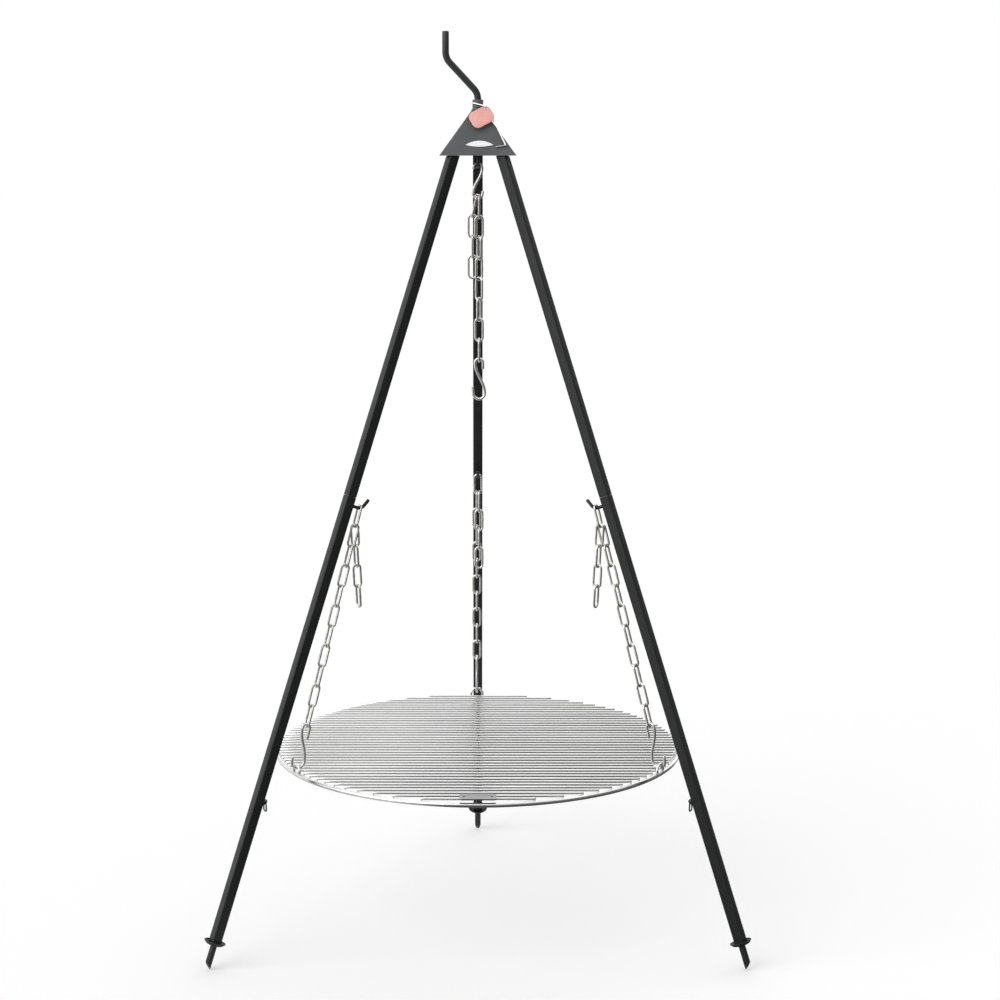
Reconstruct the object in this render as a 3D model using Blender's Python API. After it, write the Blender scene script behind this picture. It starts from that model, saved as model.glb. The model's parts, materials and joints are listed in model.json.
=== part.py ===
"""Three-legged cooking tripod with a chain-hung round grate and a pot chain on a turning rod.

Lengths are in metres, +Z is up and the three peg tips stand on Z = 0. Every piece is a separate closed
solid. Pieces that move together share an empty, which stands on their joint.
"""

import math

import bmesh
import bpy
from mathutils import Matrix, Vector

# Fits between neighbours
GAP = 0.0003                # clearance between pieces that seat on each other
FUSE = 0.0005               # depth by which welded wires run into each other
OPEN_PIVOT_GAP = 0.0009     # play of a grate hook in its eye

# Legs: square tube in two lengths, joined by a spigot and pushed onto a stub under the cap
LEG_AZIMUTHS = {"left": 210.0, "right": 330.0, "back": 90.0}
LEG_LEAN = math.radians(19.5)
LEG_TOP_RADIUS = 0.0424
TUBE_SIZE = 0.015
TUBE_WALL = 0.0015
TUBE_CORNER = 0.0016
TUBE_BELOW_RIM = 0.001
UPPER_TUBE_LENGTH = 0.523
LOWER_TUBE_LENGTH = 0.685
SPIGOT_LENGTH = 0.080
SPIGOT_WALL = 0.002
STUB_IN_TUBE = 0.040

# Feet
PEG_DIAMETER = 0.010
PEG_LENGTH = 0.0390         # below the end of the tube
PEG_INSIDE = 0.030
PEG_CUT = math.radians(45.0)
FOOT_DISC_DIAMETER = 0.0325
FOOT_DISC_THICKNESS = 0.002
FOOT_DISC_DISH = 0.0035

# Cap: three-sided pyramid of sheet, just wide enough for the tubes in its corners
CAP_FACE_LEAN = math.radians(23.06)
CAP_WALL = 0.0015
CAP_CORNER_GAP = 0.0004
CAP_TOP_LOSS = 0.012        # height missing from the point
LABEL_LENGTH = 0.041
LABEL_HEIGHT = 0.0092
LABEL_THICKNESS = 0.0008
LABEL_RIGHT = 0.0025
LABEL_UP_FACE = 0.0139

# Hub plate, welded inside the cap and carrying the stubs
HUB_ABOVE_RIM = 0.009
HUB_THICKNESS = 0.003
HUB_CORNER_CUT = 0.003

# Turning rod, its collar and stop ring
ROD_DIAMETER = 0.010
ROD_GRIP_OFFSET = 0.0475
ROD_GRIP_LENGTH = 0.036
ROD_SLOPE_RISE = 0.0507
ROD_NECK = 0.013            # straight rod above the collar
ROD_BEND_RADIUS = 0.014
COLLAR_DIAMETER = 0.016
COLLAR_LENGTH = 0.038
COLLAR_ABOVE_RIM = 0.0815
STOP_RING_DIAMETER = 0.018
STOP_RING_HEIGHT = 0.006
LUG_WIDTH = 0.016
LUG_THICKNESS = 0.005
LUG_HOLE = 0.009
LUG_HOLE_BELOW_RIM = 0.0105
LUG_EDGE = 0.0035
LUG_LENGTH = 0.016          # flat part above the hole's centre

# Chain
LINK_WIRE = 0.0034
LINK_WIDTH = 0.015
LINK_PITCH = 0.0306
SHARED_BEND_PLAY = 0.0001   # between two links that share one bend
CENTRE_LINKS = 8
CENTRE_TWIST = math.radians(90.0)
CENTRE_TAIL_LINKS = 3       # below the link in the S-hook
CENTRE_TAIL_RISE = 0.0007   # of its top link, which leans against the pot chain
CENTRE_TAIL_ASIDE = math.radians(12.0)
CENTRE_TAIL_BACK = math.radians(8.0)
CENTRE_RUN_BACK = math.radians(3.0)
SIDE_TAIL_LINKS = 4
SIDE_TAIL_LEAN = math.radians(3.0)

# S-hooks: length from bend to bend inside, radii on the wire's centre
HOOK_WIRE = 0.004
TOP_HOOK_LENGTH = 0.047
TOP_HOOK_UPPER_BEND = 0.0064
TOP_HOOK_LOWER_BEND = 0.0070
TOP_HOOK_UPPER_END = 0.002
TOP_HOOK_LOWER_END = 0.004
POT_HOOK_LENGTH = 0.057
POT_HOOK_UPPER_BEND = 0.0060
POT_HOOK_LOWER_BEND = 0.0088
POT_HOOK_UPPER_END = 0.010
POT_HOOK_LOWER_END = 0.011
GRATE_HOOK_LENGTH = 0.063
GRATE_HOOK_UPPER_BEND = 0.0060
GRATE_HOOK_LOWER_BEND = 0.0100
GRATE_HOOK_UPPER_END = 0.016
GRATE_HOOK_LOWER_END = 0.007

# Rod hooks on the legs
LEG_HOOK_WIRE = 0.005
LEG_HOOK_BELOW_JOINT = 0.013
LEG_HOOK_SHANK = 0.0105
LEG_HOOK_RADIUS = 0.0095
LEG_HOOK_TURN = math.radians(65.0)
LEG_HOOK_TIP = 0.012

# Wire rings on the legs
RING_ABOVE_FOOT = 0.219
RING_LUG_REACH = 0.0075
RING_LUG_HEIGHT = 0.008
RING_LUG_THICKNESS = 0.0024
RING_LUG_HOLE = 0.0036
RING_LUG_HOLE_OUT = 0.0042
RING_WIRE = 0.0022
RING_WIDTH = 0.011
RING_HEIGHT = 0.015

# Grate
RIM_RADIUS = 0.3085
RIM_WIRE = 0.007
BAR_WIRE = 0.004
BAR_PITCH = 0.0144
CROSS_BAR_WIRE = 0.005
BAR_OVER_RIM = 0.0015       # bar ends past the rim's inner edge
BAR_EDGE = 0.006            # least room between the last bar and the reach of the bar ends
RIM_TO_LEGS = 0.035         # least room between the rim and the legs' inner faces
EYE_WIRE = 0.004
EYE_INSIDE_HEIGHT = 0.010
EYE_FOOT_SPREAD = 0.019
EYE_TOP_SPREAD = 0.0115
PLATE_WIDTH = 0.052
PLATE_DEPTH = 0.026
PLATE_THICKNESS = 0.002
PLATE_HOLE = 0.004
PLATE_HOLE_SPACING = 0.040

# Tag on its wire
TAG_WIRE = 0.0018
TAG_LENGTH = 0.035
TAG_WIDTH = 0.027
TAG_THICKNESS = 0.0025
TAG_CORNER = 0.009
TAG_TILT = math.radians(30.0)
TAG_HOLE = 0.0042
TAG_HOLE_EDGE = 0.0050      # from the tag's edges to the hole's centre
TAG_STAND_OFF = 0.0055      # face of the cap to the back of the tag
TAG_HOLE_RIGHT = 0.0120
TAG_HOLE_UP_FACE = 0.0715

# Facets
WIRE_SIDES = 6
BEND_STEPS = 4              # steps in a half circle of chain wire
HOOK_SIDES = 6
HOOK_STEPS = 6              # steps in a half circle of an S-hook
ROUND_STEPS = 18
RIM_STEPS = 60

# Derived sizes
TUBE_INSIDE = TUBE_SIZE - 2.0 * TUBE_WALL
LEG_REACH = UPPER_TUBE_LENGTH + GAP + LOWER_TUBE_LENGTH + PEG_LENGTH
LEG_TOP_HEIGHT = LEG_REACH * math.cos(LEG_LEAN) + 0.5 * PEG_DIAMETER * math.sin(LEG_LEAN)
RIM_HEIGHT = LEG_TOP_HEIGHT + TUBE_BELOW_RIM
CAP_WALL_LEVEL = CAP_WALL / math.cos(CAP_FACE_LEAN)
CORNER_SLOPE = Vector((0.5 * math.cos(LEG_LEAN), math.sin(math.radians(60.0))))
CORNER_ROOM = (0.5 * LEG_TOP_RADIUS + (0.5 * TUBE_SIZE - TUBE_CORNER) * (CORNER_SLOPE.x + CORNER_SLOPE.y)
               + TUBE_CORNER * CORNER_SLOPE.length)
CORNER_RISE = 0.5 * TUBE_SIZE * math.sin(LEG_LEAN) - TUBE_BELOW_RIM
CAP_INRADIUS = (CORNER_ROOM + CAP_WALL_LEVEL + CAP_CORNER_GAP / math.cos(CAP_FACE_LEAN)
                + CORNER_RISE * math.tan(CAP_FACE_LEAN))
CAP_RISE = CAP_INRADIUS / math.tan(CAP_FACE_LEAN)
HUB_UNDERSIDE = RIM_HEIGHT + HUB_ABOVE_RIM
HUB_TOP = HUB_UNDERSIDE + HUB_THICKNESS
COLLAR_TOP = RIM_HEIGHT + COLLAR_ABOVE_RIM
LUG_HOLE_HEIGHT = RIM_HEIGHT - LUG_HOLE_BELOW_RIM
LINK_BEND = 0.5 * (LINK_WIDTH - LINK_WIRE)
SIDE_BY_SIDE = 0.5 * (LINK_WIRE + SHARED_BEND_PLAY)
LINK_INSIDE = LINK_PITCH - FUSE
LINK_MITRE = 0.5 * LINK_WIRE / math.cos(0.5 * math.pi / BEND_STEPS)
LINK_SEAT_RISE = (SIDE_BY_SIDE + 0.5 * LINK_WIRE) * math.tan(0.5 * math.pi / BEND_STEPS)
HOOKED_DROP = LINK_INSIDE - GAP
TOP_HOOK_BORE = TOP_HOOK_UPPER_BEND - 0.5 * HOOK_WIRE
TOP_HOOK_RISE = TOP_HOOK_BORE - math.sqrt(TOP_HOOK_BORE ** 2 - 0.25 * LUG_THICKNESS ** 2)
TOP_HOOK_SEAT = LUG_HOLE_HEIGHT - 0.5 * LUG_HOLE + TOP_HOOK_RISE + GAP
CENTRE_BEND = TOP_HOOK_SEAT - TOP_HOOK_LENGTH
EYE_RADIUS = RIM_RADIUS + 0.5 * (RIM_WIRE - EYE_WIRE)
BAR_REACH = RIM_RADIUS - 0.5 * RIM_WIRE + BAR_OVER_RIM
BAR_COUNT = 2 * int((BAR_REACH - BAR_EDGE) / BAR_PITCH + 0.5)


def side_frame(azimuth):
    """Frame of one side: X points outward, Y along the tangent, Z up."""
    return Matrix.Rotation(math.radians(azimuth), 4, "Z")


def tilted(angle):
    """Turn about Y that swings the downward axis outward by an angle."""
    return Matrix.Rotation(-angle, 4, "Y")


def shift(x=0.0, y=0.0, z=0.0):
    """Translation matrix."""
    return Matrix.Translation((x, y, z))


def clear_scene():
    """Remove every object of the open file."""
    for old in list(bpy.data.objects):
        bpy.data.objects.remove(old, do_unlink=True)


def principled(name, colour, metallic, roughness):
    """Return a material with one Principled shader."""
    material = bpy.data.materials.new(name)
    material.use_nodes = True
    shader = material.node_tree.nodes["Principled BSDF"]
    shader.inputs["Base Color"].default_value = (*colour, 1.0)
    shader.inputs["Metallic"].default_value = metallic
    shader.inputs["Roughness"].default_value = roughness
    return material


class Assembly:
    """Keeps the joints and pieces of the model and places them."""

    def __init__(self):
        self.world = {}
        self.empties = {}
        self.hang = {}

    def joint(self, name, world, parent=None):
        """Add an empty on a joint, carried by another joint's empty."""
        empty = bpy.data.objects.new(f"{name}_joint", None)
        empty.empty_display_size = 0.02
        bpy.context.scene.collection.objects.link(empty)
        base = Matrix.Identity(4)
        if parent is not None:
            empty.parent = self.empties[parent]
            base = self.world[parent]
        empty.matrix_basis = base.inverted() @ world
        self.world[name] = world
        self.empties[name] = empty
        return world

    def piece(self, name, bm, material, joint, local=None, smooth=False):
        """Make an object from a bmesh, carried by a joint's empty."""
        bmesh.ops.remove_doubles(bm, verts=bm.verts, dist=1e-6)
        bmesh.ops.recalc_face_normals(bm, faces=bm.faces)
        mesh = bpy.data.meshes.new(name)
        bm.to_mesh(mesh)
        bm.free()
        mesh.materials.append(material)
        thing = bpy.data.objects.new(name, mesh)
        bpy.context.scene.collection.objects.link(thing)
        thing.parent = self.empties[joint]
        thing.matrix_basis = local if local is not None else Matrix.Identity(4)
        if smooth:
            mesh.shade_smooth()
            mesh.set_sharp_from_angle(angle=math.radians(50.0))
        return thing

    def place(self, name, bm, material, joint, world, smooth=False):
        """Make an object at a place in the world, carried by a joint's empty."""
        return self.piece(name, bm, material, joint, self.world[joint].inverted() @ world, smooth)


def combined(*parts):
    """Join several bmeshes into one, without welding them."""
    whole = bmesh.new()
    scratch = bpy.data.meshes.new("scratch")
    for part in parts:
        part.to_mesh(scratch)
        part.free()
        whole.from_mesh(scratch)
        scratch.clear_geometry()
    bpy.data.meshes.remove(scratch)
    return whole


def moved(bm, matrix):
    """Move a bmesh and return it."""
    bmesh.ops.transform(bm, matrix=matrix, verts=bm.verts)
    return bm


def boolean(body, tool, operation):
    """Return the exact Boolean of two closed bmeshes."""
    objects = []
    for label, bm in (("body", body), ("tool", tool)):
        bmesh.ops.recalc_face_normals(bm, faces=bm.faces)
        mesh = bpy.data.meshes.new(label)
        bm.to_mesh(mesh)
        bm.free()
        thing = bpy.data.objects.new(label, mesh)
        bpy.context.scene.collection.objects.link(thing)
        objects.append(thing)
    modifier = objects[0].modifiers.new("cut", "BOOLEAN")
    modifier.object = objects[1]
    modifier.operation = operation
    modifier.solver = "EXACT"
    bpy.context.view_layer.update()
    graph = bpy.context.evaluated_depsgraph_get()
    result = bmesh.new()
    result.from_object(objects[0], graph)
    for thing in objects:
        mesh = thing.data
        bpy.data.objects.remove(thing, do_unlink=True)
        bpy.data.meshes.remove(mesh)
    bmesh.ops.remove_doubles(result, verts=result.verts, dist=2e-6)
    bmesh.ops.dissolve_degenerate(result, edges=result.edges, dist=1e-6)
    return result


def union(body, tool):
    """Weld two solids."""
    return boolean(body, tool, "UNION")


def difference(body, tool):
    """Cut one solid with another."""
    return boolean(body, tool, "DIFFERENCE")


def prism(outline, low, high):
    """Solid between two heights on a closed outline of (x, y) points."""
    bm = bmesh.new()
    face = bm.faces.new([bm.verts.new((x, y, low)) for x, y in outline])
    grown = bmesh.ops.extrude_face_region(bm, geom=[face])
    top = [item for item in grown["geom"] if isinstance(item, bmesh.types.BMVert)]
    bmesh.ops.translate(bm, verts=top, vec=(0.0, 0.0, high - low))
    return bm


def ring_prism(outer, inner, low, high):
    """Tube between two heights on an outer and an inner outline of equal count."""
    bm = bmesh.new()
    rings = []
    for outline, height in ((outer, low), (outer, high), (inner, high), (inner, low)):
        rings.append([bm.verts.new((x, y, height)) for x, y in outline])
    count = len(outer)
    for index, ring in enumerate(rings):
        after = rings[(index + 1) % 4]
        for k in range(count):
            bm.faces.new((ring[k], ring[(k + 1) % count], after[(k + 1) % count], after[k]))
    return bm


def rounded_rectangle(width, depth, corner, steps=2):
    """Outline of a rectangle with rounded corners, centred on the origin."""
    outline = []
    for quarter in range(4):
        sign_x = 1.0 if quarter in (0, 3) else -1.0
        sign_y = 1.0 if quarter in (0, 1) else -1.0
        for step in range(steps + 1):
            angle = 0.5 * math.pi * (quarter + step / steps)
            x = sign_x * (0.5 * width - corner) + corner * math.cos(angle)
            y = sign_y * (0.5 * depth - corner) + corner * math.sin(angle)
            outline.append((x, y))
    return outline


def triangle(inradius, corner_cut=0.0):
    """Outline of the cap's triangle, with one corner over each leg."""
    reach = 2.0 * inradius
    outline = []
    for azimuth in sorted(LEG_AZIMUTHS.values()):
        angle = math.radians(azimuth)
        ahead = Vector((math.cos(angle), math.sin(angle)))
        aside = Vector((-ahead.y, ahead.x))
        if corner_cut > 0.0:
            half = corner_cut * math.tan(math.radians(30.0))
            for sign in (-1.0, 1.0):
                outline.append(tuple(ahead * (reach - corner_cut) + aside * sign * half))
        else:
            outline.append(tuple(ahead * reach))
    return outline


def cylinder(diameter, low, high, steps=ROUND_STEPS):
    """Upright cylinder on the Z axis."""
    outline = []
    for step in range(steps):
        angle = 2.0 * math.pi * step / steps
        outline.append((0.5 * diameter * math.cos(angle), 0.5 * diameter * math.sin(angle)))
    return prism(outline, low, high)


def turned(profile, steps=ROUND_STEPS):
    """Solid of revolution of a closed profile of (radius, height) points."""
    bm = bmesh.new()
    loop = [bm.verts.new((radius, 0.0, height)) for radius, height in profile]
    edges = [bm.edges.new((loop[k], loop[(k + 1) % len(loop)])) for k in range(len(loop))]
    bmesh.ops.spin(bm, geom=loop + edges, cent=(0.0, 0.0, 0.0), axis=(0.0, 0.0, 1.0),
                   angle=2.0 * math.pi, steps=steps, use_merge=True)
    return bm


def swept_wire(points, diameter, sides, closed=False, up=Vector((0.0, 1.0, 0.0))):
    """Round wire along a path, mitred at each point; `up` is square to the first stretch."""
    path = [Vector(point) for point in points]
    count = len(path)
    stretches = count if closed else count - 1
    along = [(path[(k + 1) % count] - path[k]).normalized() for k in range(stretches)]
    first_up = (up - along[0] * up.dot(along[0])).normalized()
    first_side = first_up.cross(along[0]).normalized()
    section = []
    for side in range(sides):
        angle = 2.0 * math.pi * side / sides
        section.append(0.5 * diameter * (first_side * math.cos(angle) + first_up * math.sin(angle)))
    bm = bmesh.new()
    rings = []
    carried = [path[0] + offset for offset in section]
    for k in range(count):
        if closed:
            normal = (along[k - 1] + along[k]).normalized()
        elif k == 0:
            normal = along[0]
        elif k == count - 1:
            normal = along[-1]
        else:
            normal = (along[k - 1] + along[k]).normalized()
        run = along[0] if k == 0 else along[k - 1]
        carried = [point + run * ((path[k] - point).dot(normal) / run.dot(normal)) for point in carried]
        rings.append([bm.verts.new(point) for point in carried])
    for k in range(stretches):
        ring, after = rings[k], rings[(k + 1) % count]
        for side in range(sides):
            other = (side + 1) % sides
            bm.faces.new((ring[side], ring[other], after[other], after[side]))
    if not closed:
        bm.faces.new(rings[0])
        bm.faces.new(rings[-1])
    return bm


def rounded_path(corners, radius, steps=4):
    """Path through corner points with each inner corner replaced by an arc."""
    path = [Vector(corners[0])]
    for before, corner, after in zip(corners, corners[1:], corners[2:]):
        before, corner, after = Vector(before), Vector(corner), Vector(after)
        back = (before - corner).normalized()
        ahead = (after - corner).normalized()
        half = 0.5 * back.angle(ahead)
        setback = radius / math.tan(half)
        centre = corner + (back + ahead).normalized() * (radius / math.sin(half))
        start = corner + back * setback - centre
        end = corner + ahead * setback - centre
        sweep = start.angle(end)
        for step in range(steps + 1):
            share = step / steps
            blend = (start * math.sin((1.0 - share) * sweep) + end * math.sin(share * sweep)) / math.sin(sweep)
            path.append(centre + blend)
    path.append(Vector(corners[-1]))
    return path


def link(top, turn):
    """One chain link hanging from height `top` inside, its plane turned from the YZ plane."""
    low = top - LINK_INSIDE
    upper = top - (LINK_BEND - LINK_MITRE)
    lower = low + (LINK_BEND - LINK_MITRE)
    path = []
    for centre, start in ((upper, 0.0), (lower, math.pi)):
        for step in range(BEND_STEPS + 1):
            angle = start + math.pi * step / BEND_STEPS
            path.append((0.0, LINK_BEND * math.cos(angle), centre + LINK_BEND * math.sin(angle)))
    wire = swept_wire(path, LINK_WIRE, WIRE_SIDES, closed=True, up=Vector((1.0, 0.0, 0.0)))
    return moved(wire, Matrix.Rotation(turn, 4, "Z"))


def chain(count, first_turn, extra_turn=0.0, top=0.0):
    """Run of links hanging down from height `top`, each a quarter turn on from the last."""
    odd, even = [], []
    for index in range(count):
        turn = first_turn + index * (0.5 * math.pi + extra_turn)
        made = link(top - index * LINK_PITCH, turn)
        (odd if index % 2 else even).append(made)
    return union(combined(*even), combined(*odd))


def s_hook(length, upper, lower, upper_tail, lower_tail, mirrored=False):
    """S-hook in the XZ plane, hanging from a seat at the origin and carrying one at -length."""
    half = 0.5 * HOOK_WIRE
    top_centre = half - upper
    low_centre = -length - half + lower
    flip = -1.0 if mirrored else 1.0
    path = [(-upper, top_centre - upper_tail)]
    for step in range(HOOK_STEPS + 1):
        angle = math.pi * (1.0 - step / HOOK_STEPS)
        path.append((upper * math.cos(angle), top_centre + upper * math.sin(angle)))
    path.append((upper, top_centre - 0.15 * length))
    path.append((-lower, low_centre + 0.10 * length))
    for step in range(HOOK_STEPS + 1):
        angle = math.pi * (1.0 + step / HOOK_STEPS)
        path.append((lower * math.cos(angle), low_centre + lower * math.sin(angle)))
    path.append((lower + 0.12 * lower_tail, low_centre + lower_tail))
    points = [(flip * x, 0.0, z) for x, z in path]
    return swept_wire(points, HOOK_WIRE, HOOK_SIDES)


def build_materials():
    """Return the finishes by name."""
    return {
        "black": principled("black_paint", (0.012, 0.013, 0.013), 0.2, 0.45),
        "bright": principled("bright_steel", (0.62, 0.61, 0.58), 1.0, 0.28),
        "zinc": principled("zinc_fastener", (0.45, 0.45, 0.44), 1.0, 0.4),
        "white": principled("white_label", (0.92, 0.92, 0.90), 0.0, 0.5),
        "red": principled("red_tag", (0.80, 0.14, 0.10), 0.0, 0.4),
    }


def pyramid(inradius, low, high):
    """Three-sided pyramid with its rim at height 0, between two heights."""
    bm = bmesh.new()
    rings = []
    for height in (low, high):
        level = triangle(inradius - height * math.tan(CAP_FACE_LEAN))
        rings.append([bm.verts.new((x, y, height)) for x, y in level])
    bm.faces.new(rings[0])
    bm.faces.new(rings[1])
    for k in range(3):
        bm.faces.new((rings[0][k], rings[0][(k + 1) % 3], rings[1][(k + 1) % 3], rings[1][k]))
    return bm


def build_cap(kit, finish):
    """Pyramid cap with the collar welded in its tip and the blank label on its front."""
    top = CAP_RISE - CAP_TOP_LOSS
    inner = CAP_INRADIUS - CAP_WALL_LEVEL
    inner_top = min(top + 0.001, inner / math.tan(CAP_FACE_LEAN) - 0.001)
    shell = difference(pyramid(CAP_INRADIUS, 0.0, top), pyramid(inner, -0.001, inner_top))
    bore = cylinder(COLLAR_DIAMETER + 2.0 * GAP, 0.2 * CAP_RISE, 1.2 * CAP_RISE)
    kit.piece("cap", difference(shell, bore), finish["black"], "head", shift(z=RIM_HEIGHT))

    tube = [(0.5 * COLLAR_DIAMETER, 0.0), (0.5 * COLLAR_DIAMETER, COLLAR_LENGTH),
            (0.5 * ROD_DIAMETER + GAP, COLLAR_LENGTH), (0.5 * ROD_DIAMETER + GAP, 0.0)]
    kit.piece("collar", turned(tube), finish["black"], "head",
              shift(z=COLLAR_TOP - COLLAR_LENGTH), smooth=True)

    lens = []
    radius = (0.25 * LABEL_LENGTH ** 2 + LABEL_HEIGHT ** 2) / (2.0 * LABEL_HEIGHT)
    reach = math.asin(0.5 * LABEL_LENGTH / radius)
    for step in range(13):
        angle = reach * (1.0 - step / 6.0)
        lens.append((radius * math.sin(angle), radius * math.cos(angle) - (radius - LABEL_HEIGHT)))
    kit.piece("face_label", prism(lens, 0.0, LABEL_THICKNESS), finish["white"], "head",
              face_frame() @ shift(x=LABEL_RIGHT, y=LABEL_UP_FACE, z=GAP))


def face_frame():
    """Frame on the cap's front face: X to the right, Y up the slope, Z out of the face."""
    foot = shift(y=-CAP_INRADIUS, z=RIM_HEIGHT)
    return foot @ Matrix.Rotation(0.5 * math.pi - CAP_FACE_LEAN, 4, "X")


def build_hub(kit, finish):
    """Hub plate inside the cap and the three stubs that the legs are pushed onto."""
    inner = CAP_INRADIUS - CAP_WALL_LEVEL - GAP / math.cos(CAP_FACE_LEAN)
    level = inner - (HUB_TOP - RIM_HEIGHT) * math.tan(CAP_FACE_LEAN)
    plate = prism(triangle(level, HUB_CORNER_CUT), HUB_UNDERSIDE, HUB_TOP)
    bore = cylinder(ROD_DIAMETER + 2.0 * GAP, HUB_UNDERSIDE - 0.01, HUB_TOP + 0.01)
    kit.piece("hub_plate", difference(plate, bore), finish["black"], "head")

    outer, hollow = spigot_outlines()
    for name in LEG_AZIMUTHS:
        leg = kit.world[f"leg_{name}"]
        stub = moved(ring_prism(outer, hollow, -STUB_IN_TUBE, 2.0 * HUB_ABOVE_RIM + TUBE_SIZE), leg)
        low = RIM_HEIGHT - 2.0 * STUB_IN_TUBE
        room = moved(pyramid(inner, low - RIM_HEIGHT, HUB_ABOVE_RIM - GAP), shift(z=RIM_HEIGHT))
        stub = boolean(stub, room, "INTERSECT")
        kit.piece(f"leg_stub_{name}", moved(stub, leg.inverted()), finish["zinc"], f"leg_{name}")


def spigot_outlines():
    """Outer and inner outlines of the square tube that slides into a leg."""
    size = TUBE_INSIDE - 2.0 * GAP
    bore = size - 2.0 * SPIGOT_WALL
    corner = max(TUBE_CORNER - TUBE_WALL, 0.05 * TUBE_CORNER) + 0.3 * TUBE_CORNER
    return rounded_rectangle(size, size, corner), rounded_rectangle(bore, bore, 0.5 * corner)


def circle(radius, count):
    """Points of a circle."""
    turns = [2.0 * math.pi * k / count for k in range(count)]
    return [(radius * math.cos(turn), radius * math.sin(turn)) for turn in turns]


def build_rod(kit, finish):
    """Turning rod with its offset grip, flattened and drilled foot, and stop ring."""
    neck = COLLAR_TOP + ROD_NECK
    top = neck + ROD_SLOPE_RISE
    corners = [(0.0, 0.0, LUG_HOLE_HEIGHT + 0.5 * LUG_LENGTH), (0.0, 0.0, neck),
               (-ROD_GRIP_OFFSET, 0.0, top), (-ROD_GRIP_OFFSET, 0.0, top + ROD_GRIP_LENGTH)]
    rod = swept_wire(rounded_path(corners, ROD_BEND_RADIUS, 5), ROD_DIAMETER, 12)
    flat = []
    for step in range(9):
        angle = math.pi * (1.0 + step / 8.0)
        flat.append((0.5 * LUG_WIDTH * math.cos(angle), (0.5 * LUG_HOLE + LUG_EDGE) * math.sin(angle)))
    shoulder = 0.5 * ROD_DIAMETER
    flat += [(0.5 * LUG_WIDTH, 0.4 * LUG_LENGTH), (shoulder, LUG_LENGTH),
             (-shoulder, LUG_LENGTH), (-0.5 * LUG_WIDTH, 0.4 * LUG_LENGTH)]
    upright = Matrix.Rotation(0.5 * math.pi, 4, "Z") @ Matrix.Rotation(0.5 * math.pi, 4, "X")
    blade = prism(flat, -0.5 * LUG_THICKNESS, 0.5 * LUG_THICKNESS)
    blade = moved(blade, shift(z=LUG_HOLE_HEIGHT) @ upright)
    hole = cylinder(LUG_HOLE, -LUG_THICKNESS * 2.0, LUG_THICKNESS * 2.0, 12)
    hole = moved(hole, shift(z=LUG_HOLE_HEIGHT) @ Matrix.Rotation(0.5 * math.pi, 4, "Y"))
    rod = difference(union(rod, blade), hole)
    kit.piece("turning_rod", moved(rod, kit.world["rod"].inverted()), finish["black"], "rod", smooth=True)

    inside, outside = 0.5 * ROD_DIAMETER + GAP, 0.5 * STOP_RING_DIAMETER
    ring = [(outside, 0.0), (outside, STOP_RING_HEIGHT), (inside, STOP_RING_HEIGHT), (inside, 0.0)]
    kit.piece("rod_stop_ring", turned(ring), finish["zinc"], "rod",
              kit.world["rod"].inverted() @ shift(z=HUB_TOP + GAP), smooth=True)


def build_tag(kit, finish):
    """Bent wire looped round the collar, and the plain tag that hangs on it."""
    face = face_frame()
    to_face = face.inverted()
    loop_radius = 0.5 * COLLAR_DIAMETER + 2.0 * GAP + 0.5 * TAG_WIRE
    path = []
    for step in range(9):
        angle = math.radians(60.0 + 22.5 * step)
        height = COLLAR_TOP - 0.001 - 0.0045 * step / 8.0
        spot = Vector((loop_radius * math.cos(angle), loop_radius * math.sin(angle), height))
        path.append(to_face @ spot)
    front = TAG_STAND_OFF + TAG_THICKNESS + TAG_WIRE
    behind = TAG_STAND_OFF - TAG_WIRE
    flat = 0.5 * TAG_WIRE + 2.0 * GAP
    across, up = TAG_HOLE_RIGHT, TAG_HOLE_UP_FACE
    path += [Vector((across - 0.0022, up + 0.0024, front)),
             Vector((across - 0.0004, up + 0.0004, front - 0.4 * TAG_WIRE)),
             Vector((across + 0.0004, up - 0.0004, behind + 0.4 * TAG_WIRE)),
             Vector((across + 0.0022, up - 0.0040, behind)),
             Vector((0.0240, 0.0520, behind)),
             Vector((0.0395, 0.0185, flat + 0.0010)),
             Vector((0.0402, 0.0163, flat + 0.0006)),
             Vector((0.0386, 0.0147, flat + 0.0004)),
             Vector((0.0300, 0.0136, flat)),
             Vector((0.0262, 0.0124, flat))]
    wire = swept_wire(path, TAG_WIRE, WIRE_SIDES, up=Vector((0.0, 0.0, 1.0)))
    kit.piece("tag_wire", wire, finish["bright"], "head", face, smooth=True)

    plate = prism(rounded_rectangle(TAG_LENGTH, TAG_WIDTH, TAG_CORNER, 4), 0.0, TAG_THICKNESS)
    right, above = 0.5 * TAG_LENGTH - TAG_HOLE_EDGE, 0.5 * TAG_WIDTH - TAG_HOLE_EDGE
    plate = moved(plate, Matrix.Rotation(TAG_TILT, 4, "Z") @ shift(x=-right, y=-above))
    plate = difference(plate, cylinder(TAG_HOLE, -TAG_THICKNESS, 2.0 * TAG_THICKNESS, 12))
    kit.piece("tag", plate, finish["red"], "tag")


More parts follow.
